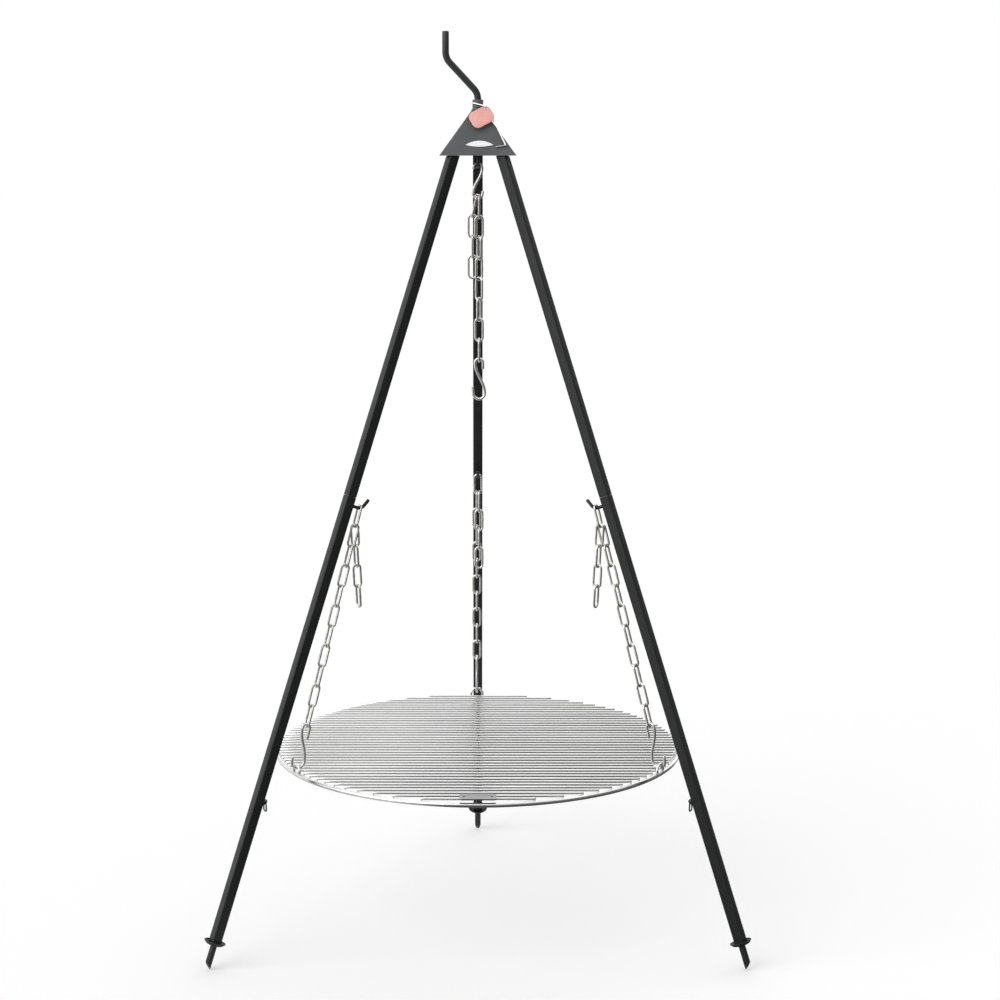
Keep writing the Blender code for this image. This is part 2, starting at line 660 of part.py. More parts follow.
def build_leg(kit, finish, name):
    """Two square tubes, spigot, foot, rod hook and ring of one leg."""
    joint = f"leg_{name}"
    outer = rounded_rectangle(TUBE_SIZE, TUBE_SIZE, TUBE_CORNER)
    inner = rounded_rectangle(TUBE_INSIDE, TUBE_INSIDE, max(TUBE_CORNER - TUBE_WALL, 0.05 * TUBE_CORNER))
    low = -UPPER_TUBE_LENGTH
    kit.piece(f"upper_tube_{name}", ring_prism(outer, inner, low, 0.0), finish["black"], joint)

    fit, hollow = spigot_outlines()
    spigot = ring_prism(fit, hollow, low - 0.5 * SPIGOT_LENGTH, low + 0.5 * SPIGOT_LENGTH)
    kit.piece(f"spigot_{name}", spigot, finish["zinc"], joint)

    start = low - GAP
    end = start - LOWER_TUBE_LENGTH
    kit.piece(f"lower_tube_{name}", ring_prism(outer, inner, end, start), finish["black"], joint)

    base = start - LEG_HOOK_BELOW_JOINT
    path = leg_hook_path(base)
    hook = swept_wire([(x, 0.0, z) for x, z in path], LEG_HOOK_WIRE, HOOK_SIDES)
    kit.piece(f"leg_hook_{name}", hook, finish["black"], joint, smooth=True)

    inside, rim = 0.5 * PEG_DIAMETER + GAP, 0.5 * FOOT_DISC_DIAMETER
    flat = 0.5 * TUBE_SIZE * math.sqrt(2.0) - 0.0003
    thick = FOOT_DISC_THICKNESS
    profile = [(inside, -GAP), (inside, -GAP - thick), (flat, -GAP - thick),
               (rim - 0.001, FOOT_DISC_DISH - thick), (rim, FOOT_DISC_DISH - 0.5 * thick),
               (rim - 0.0008, FOOT_DISC_DISH), (flat, -GAP)]
    kit.piece(f"foot_disc_{name}", turned(profile), finish["black"], joint, shift(z=end), smooth=True)

    peg = cylinder(PEG_DIAMETER, -PEG_LENGTH, PEG_INSIDE, 16)
    cutter = prism([(0.0, -0.02), (0.03, -0.02), (0.03, 0.02), (0.0, 0.02)], -0.04, 0.0)
    tip = Vector((-0.5 * PEG_DIAMETER, 0.0, -PEG_LENGTH))
    cutter = moved(cutter, Matrix.Translation(tip) @ Matrix.Rotation(-PEG_CUT, 4, "Y"))
    kit.piece(f"foot_peg_{name}", difference(peg, cutter), finish["black"], joint, shift(z=end), smooth=True)

    build_ring(kit, finish, name, end)


def leg_hook_path(base):
    """Points (x, z) of a rod hook in the leg's frame, from the tube's inner face to its tip."""
    start = -0.5 * TUBE_SIZE - GAP
    bend = start - LEG_HOOK_SHANK
    path = [(start, base)]
    for step in range(6):
        turn = LEG_HOOK_TURN * step / 5.0
        path.append((bend - LEG_HOOK_RADIUS * math.sin(turn), base + LEG_HOOK_RADIUS * (1.0 - math.cos(turn))))
    x, z = path[-1]
    path.append((x - LEG_HOOK_TIP * math.cos(LEG_HOOK_TURN), z + LEG_HOOK_TIP * math.sin(LEG_HOOK_TURN)))
    return path


def leg_hook_seat():
    """Seat of a chain link on a rod hook, on top of its lowest point, in the side's frame."""
    base = -UPPER_TUBE_LENGTH - GAP - LEG_HOOK_BELOW_JOINT
    x = -0.5 * TUBE_SIZE - GAP - LEG_HOOK_SHANK - LEG_HOOK_RADIUS * math.sin(LEG_LEAN)
    z = base + LEG_HOOK_RADIUS * (1.0 - math.cos(LEG_LEAN))
    spot = shift(x=LEG_TOP_RADIUS, z=LEG_TOP_HEIGHT) @ tilted(LEG_LEAN) @ Vector((x, 0.0, z))
    return spot + Vector((0.0, 0.0, 0.5 * LEG_HOOK_WIRE))


def build_ring(kit, finish, name, foot):
    """Small drilled lug on the leg's inner face, and the wire ring that hangs in it."""
    face = -0.5 * TUBE_SIZE - GAP
    half = 0.5 * RING_LUG_HEIGHT
    outline = [(face, -half), (face, half), (face - 0.5 * RING_LUG_REACH, half)]
    for step in range(1, 6):
        angle = math.pi * (0.5 + step / 6.0)
        outline.append((face - RING_LUG_REACH + half + half * math.cos(angle), half * math.sin(angle)))
    outline.append((face - 0.5 * RING_LUG_REACH, -half))
    plate = prism(outline, -0.5 * RING_LUG_THICKNESS, 0.5 * RING_LUG_THICKNESS)
    hole = cylinder(RING_LUG_HOLE, -0.01, 0.01, 12)
    lug = difference(plate, moved(hole, shift(x=face - RING_LUG_HOLE_OUT)))
    stand = shift(z=foot + RING_ABOVE_FOOT) @ Matrix.Rotation(0.5 * math.pi, 4, "X")
    kit.piece(f"ring_lug_{name}", lug, finish["black"], f"leg_{name}", stand)

    wide, tall = 0.5 * (RING_WIDTH - RING_WIRE), RING_HEIGHT - RING_WIRE
    corners = [(0.0, 0.0), (0.62 * wide, -0.02 * tall), (wide, -0.75 * tall), (0.8 * wide, -tall),
               (0.0, -1.06 * tall)]
    loop = corners[:-1] + [corners[-1]] + [(-x, z) for x, z in reversed(corners[1:-1])]
    path = [(0.0, y, z) for y, z in loop]
    ring = swept_wire(path, RING_WIRE, WIRE_SIDES, closed=True, up=Vector((1.0, 0.0, 0.0)))
    kit.piece(f"leg_ring_{name}", ring, finish["black"], f"ring_{name}", smooth=True)


def seat_rise(radius):
    """Height at which two links side by side rest in a hook's bend of a given radius."""
    bend = radius * math.cos(0.5 * math.pi / HOOK_STEPS) - 0.5 * HOOK_WIRE
    aside = SIDE_BY_SIDE + 0.5 * LINK_WIRE * math.cos(math.radians(30.0))
    return bend - math.sqrt(bend ** 2 - aside ** 2) - 0.25 * LINK_WIRE


def centre_seat():
    """Inside top of the pot chain's first link, on the S-hook."""
    return Vector((SIDE_BY_SIDE, 0.0, CENTRE_BEND + GAP + seat_rise(TOP_HOOK_LOWER_BEND)))


def pot_seat():
    """Lowest inside point of the pot chain, where the pot hook hangs."""
    return centre_seat() + Vector((0.0, 0.0, FUSE - CENTRE_LINKS * LINK_PITCH))


def build_centre(kit, finish):
    """S-hook in the rod's foot, the pot chain, the spare links beside it and the pot hook."""
    top = s_hook(TOP_HOOK_LENGTH, TOP_HOOK_UPPER_BEND, TOP_HOOK_LOWER_BEND, TOP_HOOK_UPPER_END,
                 TOP_HOOK_LOWER_END)
    kit.place("top_s_hook", top, finish["bright"], "top_hook", shift(z=TOP_HOOK_SEAT), smooth=True)

    main = chain(CENTRE_LINKS, 0.0, CENTRE_TWIST / (CENTRE_LINKS - 1))
    kit.place("centre_chain", main, finish["bright"], "centre", Matrix.Translation(centre_seat()), smooth=True)

    lean = Matrix.Rotation(CENTRE_TAIL_ASIDE, 4, "Y") @ Matrix.Rotation(CENTRE_TAIL_BACK, 4, "X")
    stand = shift(x=-SIDE_BY_SIDE, z=centre_seat().z + CENTRE_TAIL_RISE) @ lean
    spot = stand @ Vector((0.0, 0.0, -LINK_PITCH))
    run = chain(CENTRE_TAIL_LINKS, 0.5 * math.pi)
    run = moved(run, Matrix.Translation(spot) @ Matrix.Rotation(CENTRE_RUN_BACK, 4, "X"))
    spare = union(moved(link(0.0, 0.0), stand), run)
    kit.place("centre_chain_tail", spare, finish["bright"], "centre_tail", Matrix.Identity(4), smooth=True)

    hook = s_hook(POT_HOOK_LENGTH, POT_HOOK_UPPER_BEND, POT_HOOK_LOWER_BEND, POT_HOOK_UPPER_END,
                  POT_HOOK_LOWER_END, mirrored=True)
    kit.place("pot_hook", hook, finish["bright"], "pot_hook",
              Matrix.Translation(pot_seat()) @ shift(z=GAP), smooth=True)


def hanger(links):
    """Lean of a hanger with a number of strand links, and the height of the eye that it carries."""
    seat = leg_hook_seat()
    length = HOOKED_DROP - LINK_SEAT_RISE + links * LINK_PITCH - FUSE - 2.0 * GAP + GRATE_HOOK_LENGTH
    lean = math.asin(min(1.0, (EYE_RADIUS - seat.x) / length))
    return lean, seat.z - length * math.cos(lean)


def rim_top_height(eye_seat):
    """Height of the rim's top under eyes whose bars rest on the hooks at a height."""
    return eye_seat + OPEN_PIVOT_GAP - EYE_INSIDE_HEIGHT


def strand_links():
    """Fewest links, an even number so that the hook faces its eye, that hang the rim clear of the legs."""
    half_tube = 0.5 * TUBE_SIZE / math.cos(LEG_LEAN)
    links = 2
    while True:
        leg_inside = LEG_TOP_RADIUS - half_tube + math.tan(LEG_LEAN) * (
            LEG_TOP_HEIGHT - rim_top_height(hanger(links)[1]))
        if leg_inside - RIM_RADIUS - 0.5 * RIM_WIRE >= RIM_TO_LEGS:
            return links
        links += 2


def build_side_chain(kit, finish, name):
    """Hooked link, strand, free end and S-hook of one side of the grate's suspension."""
    quarter = 0.5 * math.pi
    count = strand_links()
    hang = kit.hang[name]
    carried = f"strand_{name}"
    kit.place(f"hooked_link_{name}", link(GAP, 0.0), finish["bright"], carried, hang, smooth=True)
    top = LINK_SEAT_RISE + GAP - HOOKED_DROP
    strand = chain(count, quarter)
    kit.place(f"side_chain_{name}", strand, finish["bright"], carried,
              hang @ shift(y=SIDE_BY_SIDE, z=top), smooth=True)
    hook = s_hook(GRATE_HOOK_LENGTH, GRATE_HOOK_UPPER_BEND, GRATE_HOOK_LOWER_BEND, GRATE_HOOK_UPPER_END,
                  GRATE_HOOK_LOWER_END)
    drop = top - count * LINK_PITCH + FUSE + GAP
    kit.place(f"grate_s_hook_{name}", hook, finish["bright"], carried,
              hang @ shift(y=SIDE_BY_SIDE, z=drop), smooth=True)
    free = moved(chain(SIDE_TAIL_LINKS, quarter), shift(y=-SIDE_BY_SIDE, z=0.5 * LINK_WIRE + LINK_SEAT_RISE + GAP))
    kit.piece(f"chain_tail_{name}", free, finish["bright"], f"tail_{name}", smooth=True)


def build_grate(kit, finish, eye_seat):
    """Round grate: rim, bars on a cross bar, three eyes and the blank plate."""
    rim_top = rim_top_height(eye_seat)
    rim_level = rim_top - 0.5 * RIM_WIRE
    bar_level = rim_top + GAP + 0.5 * BAR_WIRE
    world = kit.world["grate"]
    rim_path = [(x, y, rim_level) for x, y in circle(RIM_RADIUS, RIM_STEPS)]
    rim = swept_wire(rim_path, RIM_WIRE, HOOK_SIDES, closed=True, up=Vector((0.0, 0.0, 1.0)))
    kit.piece("grate_rim", moved(rim, world.inverted()), finish["bright"], "grate", smooth=True)

    bars = []
    first = -0.5 * (BAR_COUNT - 1) * BAR_PITCH
    for index in range(BAR_COUNT):
        y = first + index * BAR_PITCH
        half = math.sqrt(BAR_REACH ** 2 - y ** 2)
        ends = [(-half, y, bar_level), (half, y, bar_level)]
        bars.append(swept_wire(ends, BAR_WIRE, WIRE_SIDES, up=Vector((0.0, 0.0, 1.0))))
    cross_level = bar_level - 0.5 * (BAR_WIRE + CROSS_BAR_WIRE) + 2.0 * FUSE
    inner = RIM_RADIUS - 0.5 * RIM_WIRE - GAP
    cross = swept_wire([(0.0, -inner, cross_level), (0.0, inner, cross_level)], CROSS_BAR_WIRE, HOOK_SIDES,
                       up=Vector((0.0, 0.0, 1.0)))
    mat = union(combined(*bars), cross)
    kit.piece("grate_bars", moved(mat, world.inverted()), finish["bright"], "grate", smooth=True)

    bar_of_eye = rim_top + EYE_INSIDE_HEIGHT + 0.5 * EYE_WIRE
    for name, azimuth in LEG_AZIMUTHS.items():
        foot, top = 0.5 * EYE_FOOT_SPREAD, 0.5 * EYE_TOP_SPREAD
        low, bend = rim_top + GAP, rim_top + 0.25 * EYE_INSIDE_HEIGHT
        corners = [(0.0, -foot, low), (0.0, -foot, bend), (0.0, -top, bar_of_eye),
                   (0.0, top, bar_of_eye), (0.0, foot, bend), (0.0, foot, low)]
        eye = swept_wire(rounded_path(corners, 0.003, 2), EYE_WIRE, HOOK_SIDES, up=Vector((1.0, 0.0, 0.0)))
        eye = moved(eye, side_frame(azimuth) @ shift(x=EYE_RADIUS, y=SIDE_BY_SIDE))
        kit.piece(f"grate_eye_{name}", moved(eye, world.inverted()), finish["bright"], "grate", smooth=True)

    low = bar_level + 0.5 * BAR_WIRE + GAP
    plate = prism(rounded_rectangle(PLATE_WIDTH, PLATE_DEPTH, 0.003), low, low + PLATE_THICKNESS)
    holes = [moved(cylinder(PLATE_HOLE, low - 0.01, low + 0.01, 12), shift(x=side * 0.5 * PLATE_HOLE_SPACING))
             for side in (-1.0, 1.0)]
    plate = difference(plate, combined(*holes))
    front = RIM_RADIUS + 0.5 * RIM_WIRE - 0.5 * PLATE_DEPTH
    kit.piece("grate_plate", moved(plate, world.inverted() @ shift(y=-front)), finish["bright"], "grate")


def place_joints(kit):
    """Put an empty on every joint and return the height of the grate hooks' seats."""
    kit.joint("head", Matrix.Identity(4))
    kit.joint("rod", shift(z=COLLAR_TOP), "head")
    kit.joint("top_hook", shift(z=TOP_HOOK_SEAT + 0.5 * HOOK_WIRE), "rod")
    kit.joint("centre", shift(z=CENTRE_BEND - 0.5 * HOOK_WIRE + TOP_HOOK_LOWER_BEND), "top_hook")
    kit.joint("centre_tail", shift(x=-SIDE_BY_SIDE, z=CENTRE_BEND - 0.5 * HOOK_WIRE), "centre")
    kit.joint("pot_hook", Matrix.Translation(pot_seat()) @ shift(z=-0.5 * LINK_WIRE), "centre")
    tag_at = face_frame() @ shift(x=TAG_HOLE_RIGHT, y=TAG_HOLE_UP_FACE, z=TAG_STAND_OFF)
    kit.joint("tag", tag_at, "head")

    seat = leg_hook_seat()
    lean, eye_seat = hanger(strand_links())
    rings = -(UPPER_TUBE_LENGTH + GAP + LOWER_TUBE_LENGTH - RING_ABOVE_FOOT)
    ring_x = -0.5 * TUBE_SIZE - GAP - RING_LUG_HOLE_OUT
    kit.joint("grate", Matrix.Translation((0.0, 0.0, eye_seat)), "head")
    for name, azimuth in LEG_AZIMUTHS.items():
        side = side_frame(azimuth)
        leg = kit.joint(f"leg_{name}", side @ shift(x=LEG_TOP_RADIUS, z=LEG_TOP_HEIGHT) @ tilted(LEG_LEAN),
                        "head")
        rod_centre = seat - Vector((0.0, 0.0, 0.5 * LEG_HOOK_WIRE))
        kit.joint(f"strand_{name}", side @ Matrix.Translation(rod_centre), "head")
        kit.hang[name] = side @ Matrix.Translation(seat) @ tilted(lean)
        bend = kit.hang[name] @ Vector((0.0, 0.0, -HOOKED_DROP - 0.5 * LINK_WIRE))
        kit.joint(f"tail_{name}", Matrix.Translation(bend) @ side @ tilted(-SIDE_TAIL_LEAN), f"strand_{name}")
        hole = leg @ Vector((ring_x, 0.0, rings))
        drop = Vector((0.0, 0.0, 0.5 * RING_LUG_HOLE - GAP - 0.5 * RING_WIRE))
        kit.joint(f"ring_{name}", Matrix.Translation(hole - drop) @ side, f"leg_{name}")
    return eye_seat


def main():
    """Build the whole tripod."""
    clear_scene()
    finish = build_materials()
    kit = Assembly()
    eye_seat = place_joints(kit)
    build_cap(kit, finish)
    build_hub(kit, finish)
    build_rod(kit, finish)
    build_tag(kit, finish)
    build_centre(kit, finish)
    for name in LEG_AZIMUTHS:
        build_leg(kit, finish, name)
        build_side_chain(kit, finish, name)
    build_grate(kit, finish, eye_seat)


main()
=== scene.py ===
"""Looks of a three-legged cooking tripod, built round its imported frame.

Every piece is worked out in metres in the frame's own axes: +Z is up, the peg tips stand on Z = 0 and the
cap's front face looks towards -Y. Wires, bars, tubes and links replace the plain solids of the frame.
"""

import json
import logging
import math
from dataclasses import dataclass, field
from enum import Enum

import bmesh
import bpy
import numpy as np
from mathutils import Matrix, Vector


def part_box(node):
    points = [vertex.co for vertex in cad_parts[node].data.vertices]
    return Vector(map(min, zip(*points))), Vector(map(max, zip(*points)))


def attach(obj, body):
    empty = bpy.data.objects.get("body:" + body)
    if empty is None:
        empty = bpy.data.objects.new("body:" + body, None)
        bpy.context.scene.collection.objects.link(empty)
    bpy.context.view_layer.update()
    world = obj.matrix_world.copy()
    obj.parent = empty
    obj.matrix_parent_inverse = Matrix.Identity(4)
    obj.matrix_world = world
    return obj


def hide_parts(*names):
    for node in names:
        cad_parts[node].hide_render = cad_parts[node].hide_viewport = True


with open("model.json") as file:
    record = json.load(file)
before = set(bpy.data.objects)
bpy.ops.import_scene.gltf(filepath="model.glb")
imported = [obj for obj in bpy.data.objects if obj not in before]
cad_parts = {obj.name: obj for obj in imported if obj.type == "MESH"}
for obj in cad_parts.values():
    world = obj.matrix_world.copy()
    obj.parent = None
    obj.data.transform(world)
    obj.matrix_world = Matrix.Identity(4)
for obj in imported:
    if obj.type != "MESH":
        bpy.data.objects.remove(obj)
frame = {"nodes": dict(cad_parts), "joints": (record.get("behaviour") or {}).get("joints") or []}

LOG = logging.getLogger("tripod")
PHOTO_SIDE = 1000.0                     # pixels along each side of the photograph
UP = (0.0, 0.0, 1.0)
WHITE = (1.0, 1.0, 1.0, 1.0)
FULL_TURN = 2.0 * math.pi
QUARTER_TURN = 0.5 * math.pi
HAIR = 0.0001                           # play between pieces that bear on each other, in metres
FLOAT_A, FLOAT_B, FLOAT_OUT = 2, 3, 0   # sockets of a Mix node of numbers
COLOR_A, COLOR_B, COLOR_OUT = 6, 7, 2   # sockets of a Mix node of colours


class Side(Enum):
    """The three legs and what hangs on them, by azimuth in degrees."""

    LEFT = 210.0
    RIGHT = 330.0
    BACK = 90.0

    @property
    def label(self) -> str:
        """Name that the frame's nodes and bodies end with."""
        return self.name.lower()

    @property
    def matrix(self) -> Matrix:
        """Frame of this side: X points outward, Y along the tangent, Z up."""
        return Matrix.Rotation(math.radians(self.value), 4, "Z")


class Grain(Enum):
    """Direction in which a metal's fine relief is drawn out, as scales along X, Y and Z."""

    EVEN = (1.0, 1.0, 1.0)
    ALONG_X = (0.05, 1.0, 1.0)
    ALONG_Y = (1.0, 0.05, 1.0)
    ALONG_Z = (1.0, 1.0, 0.06)


def shift(x: float = 0.0, y: float = 0.0, z: float = 0.0) -> Matrix:
    """Translation matrix."""
    return Matrix.Translation((x, y, z))


def tilted(angle: float) -> Matrix:
    """Turn about Y that swings the downward axis outward."""
    return Matrix.Rotation(-angle, 4, "Y")


def carried(points: np.ndarray, matrix: Matrix) -> np.ndarray:
    """Points moved by a matrix, for an array whose last axis is X, Y, Z."""
    whole = np.array(matrix)
    return points @ whole[:3, :3].T + whole[:3, 3]


def unit(vectors: np.ndarray) -> np.ndarray:
    """Vectors of length one along the last axis."""
    return vectors / np.linalg.norm(vectors, axis=-1, keepdims=True)


def joint_place(name: str) -> Vector:
    """Place of a joint of the frame, in metres."""
    return next(Vector(joint["pos_m"]) for joint in frame["joints"] if joint["name"] == name)


def arc(centre: tuple[float, float], radius: float, start: float, stop: float, steps: int) -> np.ndarray:
    """Points of an arc: centre + radius (cos a, sin a).

    Args:
        centre: Centre in the arc's plane.
        radius: Radius in metres.
        start: First angle in degrees.
        stop: Last angle in degrees.
        steps: Number of steps between the two.

    Returns:
        Array of steps + 1 rows of two coordinates.
    """
    angles = np.radians(np.linspace(start, stop, steps + 1))
    return np.stack([centre[0] + radius * np.cos(angles), centre[1] + radius * np.sin(angles)], axis=-1)


def between(start: np.ndarray, stop: np.ndarray, steps: int) -> np.ndarray:
    """Points strictly between two points: start + t (stop - start).

    Args:
        start: First point.
        stop: Last point.
        steps: Number of equal steps.

    Returns:
        Array of steps - 1 rows, without the two ends.
    """
    share = np.linspace(0.0, 1.0, steps + 1)[1:-1, None]
    return start + share * (stop - start)


def smooth_curve(points: np.ndarray, steps: int, closed: bool = False) -> np.ndarray:
    """Catmull-Rom curve through points: on each stretch a cubic whose end slopes join the neighbours.

    Args:
        points: Points to pass through, one row each.
        steps: Points made on each stretch.
        closed: Whether the last point joins the first.

    Returns:
        Array of curve points.
    """
    if closed:
        before, after, beyond = np.roll(points, 1, 0), np.roll(points, -1, 0), np.roll(points, -2, 0)
        here = points
    else:
        longer = np.concatenate([2 * points[:1] - points[1:2], points, 2 * points[-1:] - points[-2:-1]])
        before, here, after, beyond = longer[:-3], longer[1:-2], longer[2:-1], longer[3:]
    t = (np.arange(steps) / steps)[None, :, None]
    before, here, after, beyond = (part[:, None, :] for part in (before, here, after, beyond))
    curve = here + 0.5 * t * (after - before + t * (2 * before - 5 * here + 4 * after - beyond
                                                    + t * (3 * here - before - 3 * after + beyond)))
    curve = curve.reshape(-1, points.shape[1])
    return curve if closed else np.concatenate([curve, points[-1:]])


def in_plane(flat: np.ndarray, first: int, second: int) -> np.ndarray:
    """Put two coordinates on two of the three axes, with 0 on the third.

    Args:
        flat: Rows of two coordinates.
        first: Axis that takes the first coordinate, from 0 to 2.
        second: Axis that takes the second coordinate.

    Returns:
        Rows of three coordinates.
    """
    path = np.zeros((len(flat), 3))
    path[:, first] = flat[:, 0]
    path[:, second] = flat[:, 1]
    return path


def nosed(path: np.ndarray, radius: float, nose: float, steps: int = 5) -> tuple[np.ndarray, np.ndarray]:
    """Path and radii of a wire with rounded ends: radius sin(phi) at nose (1 - cos(phi)) from each end.

    Args:
        path: Points of the wire's centre line.
        radius: Radius of the wire.
        nose: Length of each rounded end.
        steps: Rings in each rounded end.

    Returns:
        The resampled path, and a radius for each of its points.
    """
    reach = np.concatenate([[0.0], np.cumsum(np.linalg.norm(np.diff(path, axis=0), axis=1))])
    total = reach[-1]
    tip_angle, clear = 0.12, 1.2 * nose
    phi = np.linspace(tip_angle, QUARTER_TURN, steps)
    front = nose * (1.0 - np.cos(phi))
    middle = reach[(reach > clear) & (reach < total - clear)]
    spots = np.concatenate([front, middle, (total - front)[::-1]])
    resampled = np.stack([np.interp(spots, reach, path[:, axis]) for axis in range(3)], axis=-1)
    radii = np.concatenate([radius * np.sin(phi), np.full(len(middle), radius), radius * np.sin(phi)[::-1]])
    return resampled, radii


def rounded_square(width: float, corner: float, steps: int = 6) -> np.ndarray:
    """Outline of a square with rounded corners.

    Args:
        width: Width over the flats.
        corner: Radius of the corners.
        steps: Steps in each corner.

    Returns:
        Array of 4 (steps + 1) rows of two coordinates.
    """
    return rounded_oblong(np.array([0.5 * width, 0.5 * width]), corner, steps)


def rounded_oblong(half: np.ndarray, corner: float, steps: int) -> np.ndarray:
    """Outline of an oblong with rounded corners: a quarter circle round each corner's own centre.

    Args:
        half: Half its length and half its width.
        corner: Radius of the corners.
        steps: Steps in each corner.

    Returns:
        Array of 4 (steps + 1) rows of two coordinates.
    """
    quarters = [((1, 1), 0.0), ((-1, 1), 90.0), ((-1, -1), 180.0), ((1, -1), 270.0)]
    return np.concatenate([arc(tuple(np.array(signs) * (half - corner)), corner, start, start + 90.0, steps)
                           for signs, start in quarters])


class Shape:
    """Points and faces of one mesh, gathered from grids."""

    def __init__(self) -> None:
        """Start with nothing."""
        self.points: list[np.ndarray] = []
        self.faces: list[list[int]] = []
        self.count = 0

    def grid(self, points: np.ndarray, ring: bool = False, capped: bool = False) -> None:
        """Add a surface of rows by columns whose columns close on themselves.

        Args:
            points: Array of rows, columns and three coordinates.
            ring: Whether the last row joins the first.
            capped: Whether the first and last rows are closed by flat faces.
        """
        rows, columns = points.shape[:2]
        row = np.arange(rows if ring else rows - 1)
        row, column = np.meshgrid(row, np.arange(columns), indexing="ij")
        next_row, next_column = (row + 1) % rows, (column + 1) % columns
        quads = np.stack([row * columns + column, row * columns + next_column,
                          next_row * columns + next_column, next_row * columns + column], axis=-1)
        self.faces += (quads.reshape(-1, 4) + self.count).tolist()
        if capped:
            self.faces.append((self.count + np.arange(columns)[::-1]).tolist())
            self.faces.append((self.count + (rows - 1) * columns + np.arange(columns)).tolist())
        self.points.append(points.reshape(-1, 3))
        self.count += rows * columns

    def wire(self, path: np.ndarray, radii: float | np.ndarray, sides: int,
             across: tuple[float, float, float], closed: bool = False, matrix: Matrix | None = None) -> None:
        """Add a round wire: path + r (cos a side + sin a up), with side square to the path and to `across`.

        Args:
            path: Points of the centre line.
            radii: One radius, one for each point, or two for each point as on an ellipse.
            sides: Points round the wire.
            across: Direction that is never along the path, such as the normal of its plane.
            closed: Whether the wire joins its own start.
            matrix: Frame that the wire is carried into, or None where it is in place.
        """
        if closed:
            along = np.roll(path, -1, 0) - np.roll(path, 1, 0)
        else:
            along = np.gradient(path, axis=0)
        along = unit(along)
        side = unit(np.cross(along, np.array(across)))
        up = np.cross(side, along)
        sizes = np.broadcast_to(np.asarray(radii, float).reshape(-1, 1) if np.ndim(radii) < 2 else radii,
                                (len(path), 2))
        angles = np.linspace(0.0, FULL_TURN, sides, endpoint=False)
        round_part = (sizes[:, None, :1] * np.cos(angles)[None, :, None] * side[:, None, :]
                      + sizes[:, None, 1:] * np.sin(angles)[None, :, None] * up[:, None, :])
        points = path[:, None, :] + round_part
        self.grid(points if matrix is None else carried(points, matrix), ring=closed, capped=not closed)

    def turned(self, profile: np.ndarray, steps: int, matrix: Matrix, ring: bool = True) -> None:
        """Add a turned solid: (r cos a, r sin a, z) for each (r, z) of the profile, moved by a matrix.

        Args:
            profile: Rows of a radius and a height.
            steps: Points round the axis.
            matrix: Frame whose Z is the axis.
            ring: Whether the profile closes on itself; otherwise its two ends get flat faces.
        """
        angles = np.linspace(0.0, FULL_TURN, steps, endpoint=False)
        radius, height = profile[:, None, 0], np.repeat(profile[:, 1, None], steps, axis=1)
        rounded = np.stack([radius * np.cos(angles), radius * np.sin(angles), height], axis=-1)
        self.grid(carried(rounded, matrix), ring=ring, capped=not ring)

    def bead(self, centre: np.ndarray, sizes: np.ndarray, rows: int = 5, columns: int = 8) -> None:
        """Add a small weld bead: centre + sizes (sin b cos a, sin b sin a, cos b).

        Args:
            centre: Its middle.
            sizes: Its half length along X, Y and Z.
            rows: Rings from pole to pole.
            columns: Points in each ring.
        """
        pole = 0.25
        b = np.linspace(pole, math.pi - pole, rows)[:, None]
        a = np.linspace(0.0, FULL_TURN, columns, endpoint=False)[None, :]
        ball = np.stack([np.sin(b) * np.cos(a), np.sin(b) * np.sin(a), np.cos(b) * np.ones_like(a)], axis=-1)
        self.grid(np.asarray(centre) + ball * np.asarray(sizes), capped=True)

    def mesh(self, name: str, crease: float) -> bpy.types.Mesh:
        """Make the mesh, with outward faces and smooth shading up to an angle.

        Args:
            name: Name of the mesh.
            crease: Angle in degrees past which an edge stays sharp.

        Returns:
            The mesh.
        """
        mesh = bpy.data.meshes.new(name)
        mesh.from_pydata(np.concatenate(self.points).tolist(), [], self.faces)
        solid = bmesh.new()
        solid.from_mesh(mesh)
        bmesh.ops.remove_doubles(solid, verts=solid.verts, dist=0.0000001)
        bmesh.ops.recalc_face_normals(solid, faces=solid.faces)
        solid.to_mesh(mesh)
        solid.free()
        mesh.shade_smooth()
        mesh.set_sharp_from_angle(angle=math.radians(crease))
        return mesh


class Nodes:
    """Short way to add and link shader nodes in one tree."""

    def __init__(self, tree: bpy.types.NodeTree) -> None:
        """Keep the tree."""
        self.tree = tree

    def add(self, kind: str, **values: object) -> bpy.types.Node:
        """Add a node; each value sets a property, or an input where the name starts with an underscore.

        Args:
            kind: Type of node, such as ShaderNodeTexNoise.
            **values: Property values, and input values as _Name with _ for a space.

        Returns:
            The node.
        """
        node = self.tree.nodes.new(kind)
        for key, value in values.items():
            if key.startswith("_"):
                node.inputs[key[1:].replace("_", " ")].default_value = value
            else:
                setattr(node, key, value)
        return node

    def join(self, *rows: tuple[bpy.types.Node, str | int, bpy.types.Node, str | int]) -> None:
        """Link nodes, by rows of a node, its output, the next node and its input."""
        for source, output, target, entry in rows:
            self.tree.links.new(source.outputs[output], target.inputs[entry])


def group_tree(name: str, inputs: dict[str, tuple[str, object]],
               outputs: dict[str, str]) -> bpy.types.NodeTree:
    """Make an empty node group with its sockets.

    Args:
        name: Name of the group.
        inputs: Socket type and starting value of each input.
        outputs: Socket type of each output.

    Returns:
        The group's tree.
    """
    tree = bpy.data.node_groups.new(name, "ShaderNodeTree")
    for label, (kind, value) in inputs.items():
        socket = tree.interface.new_socket(label, in_out="INPUT", socket_type=kind)
        socket.default_value = value
    for label, kind in outputs.items():
        tree.interface.new_socket(label, in_out="OUTPUT", socket_type=kind)
    return tree


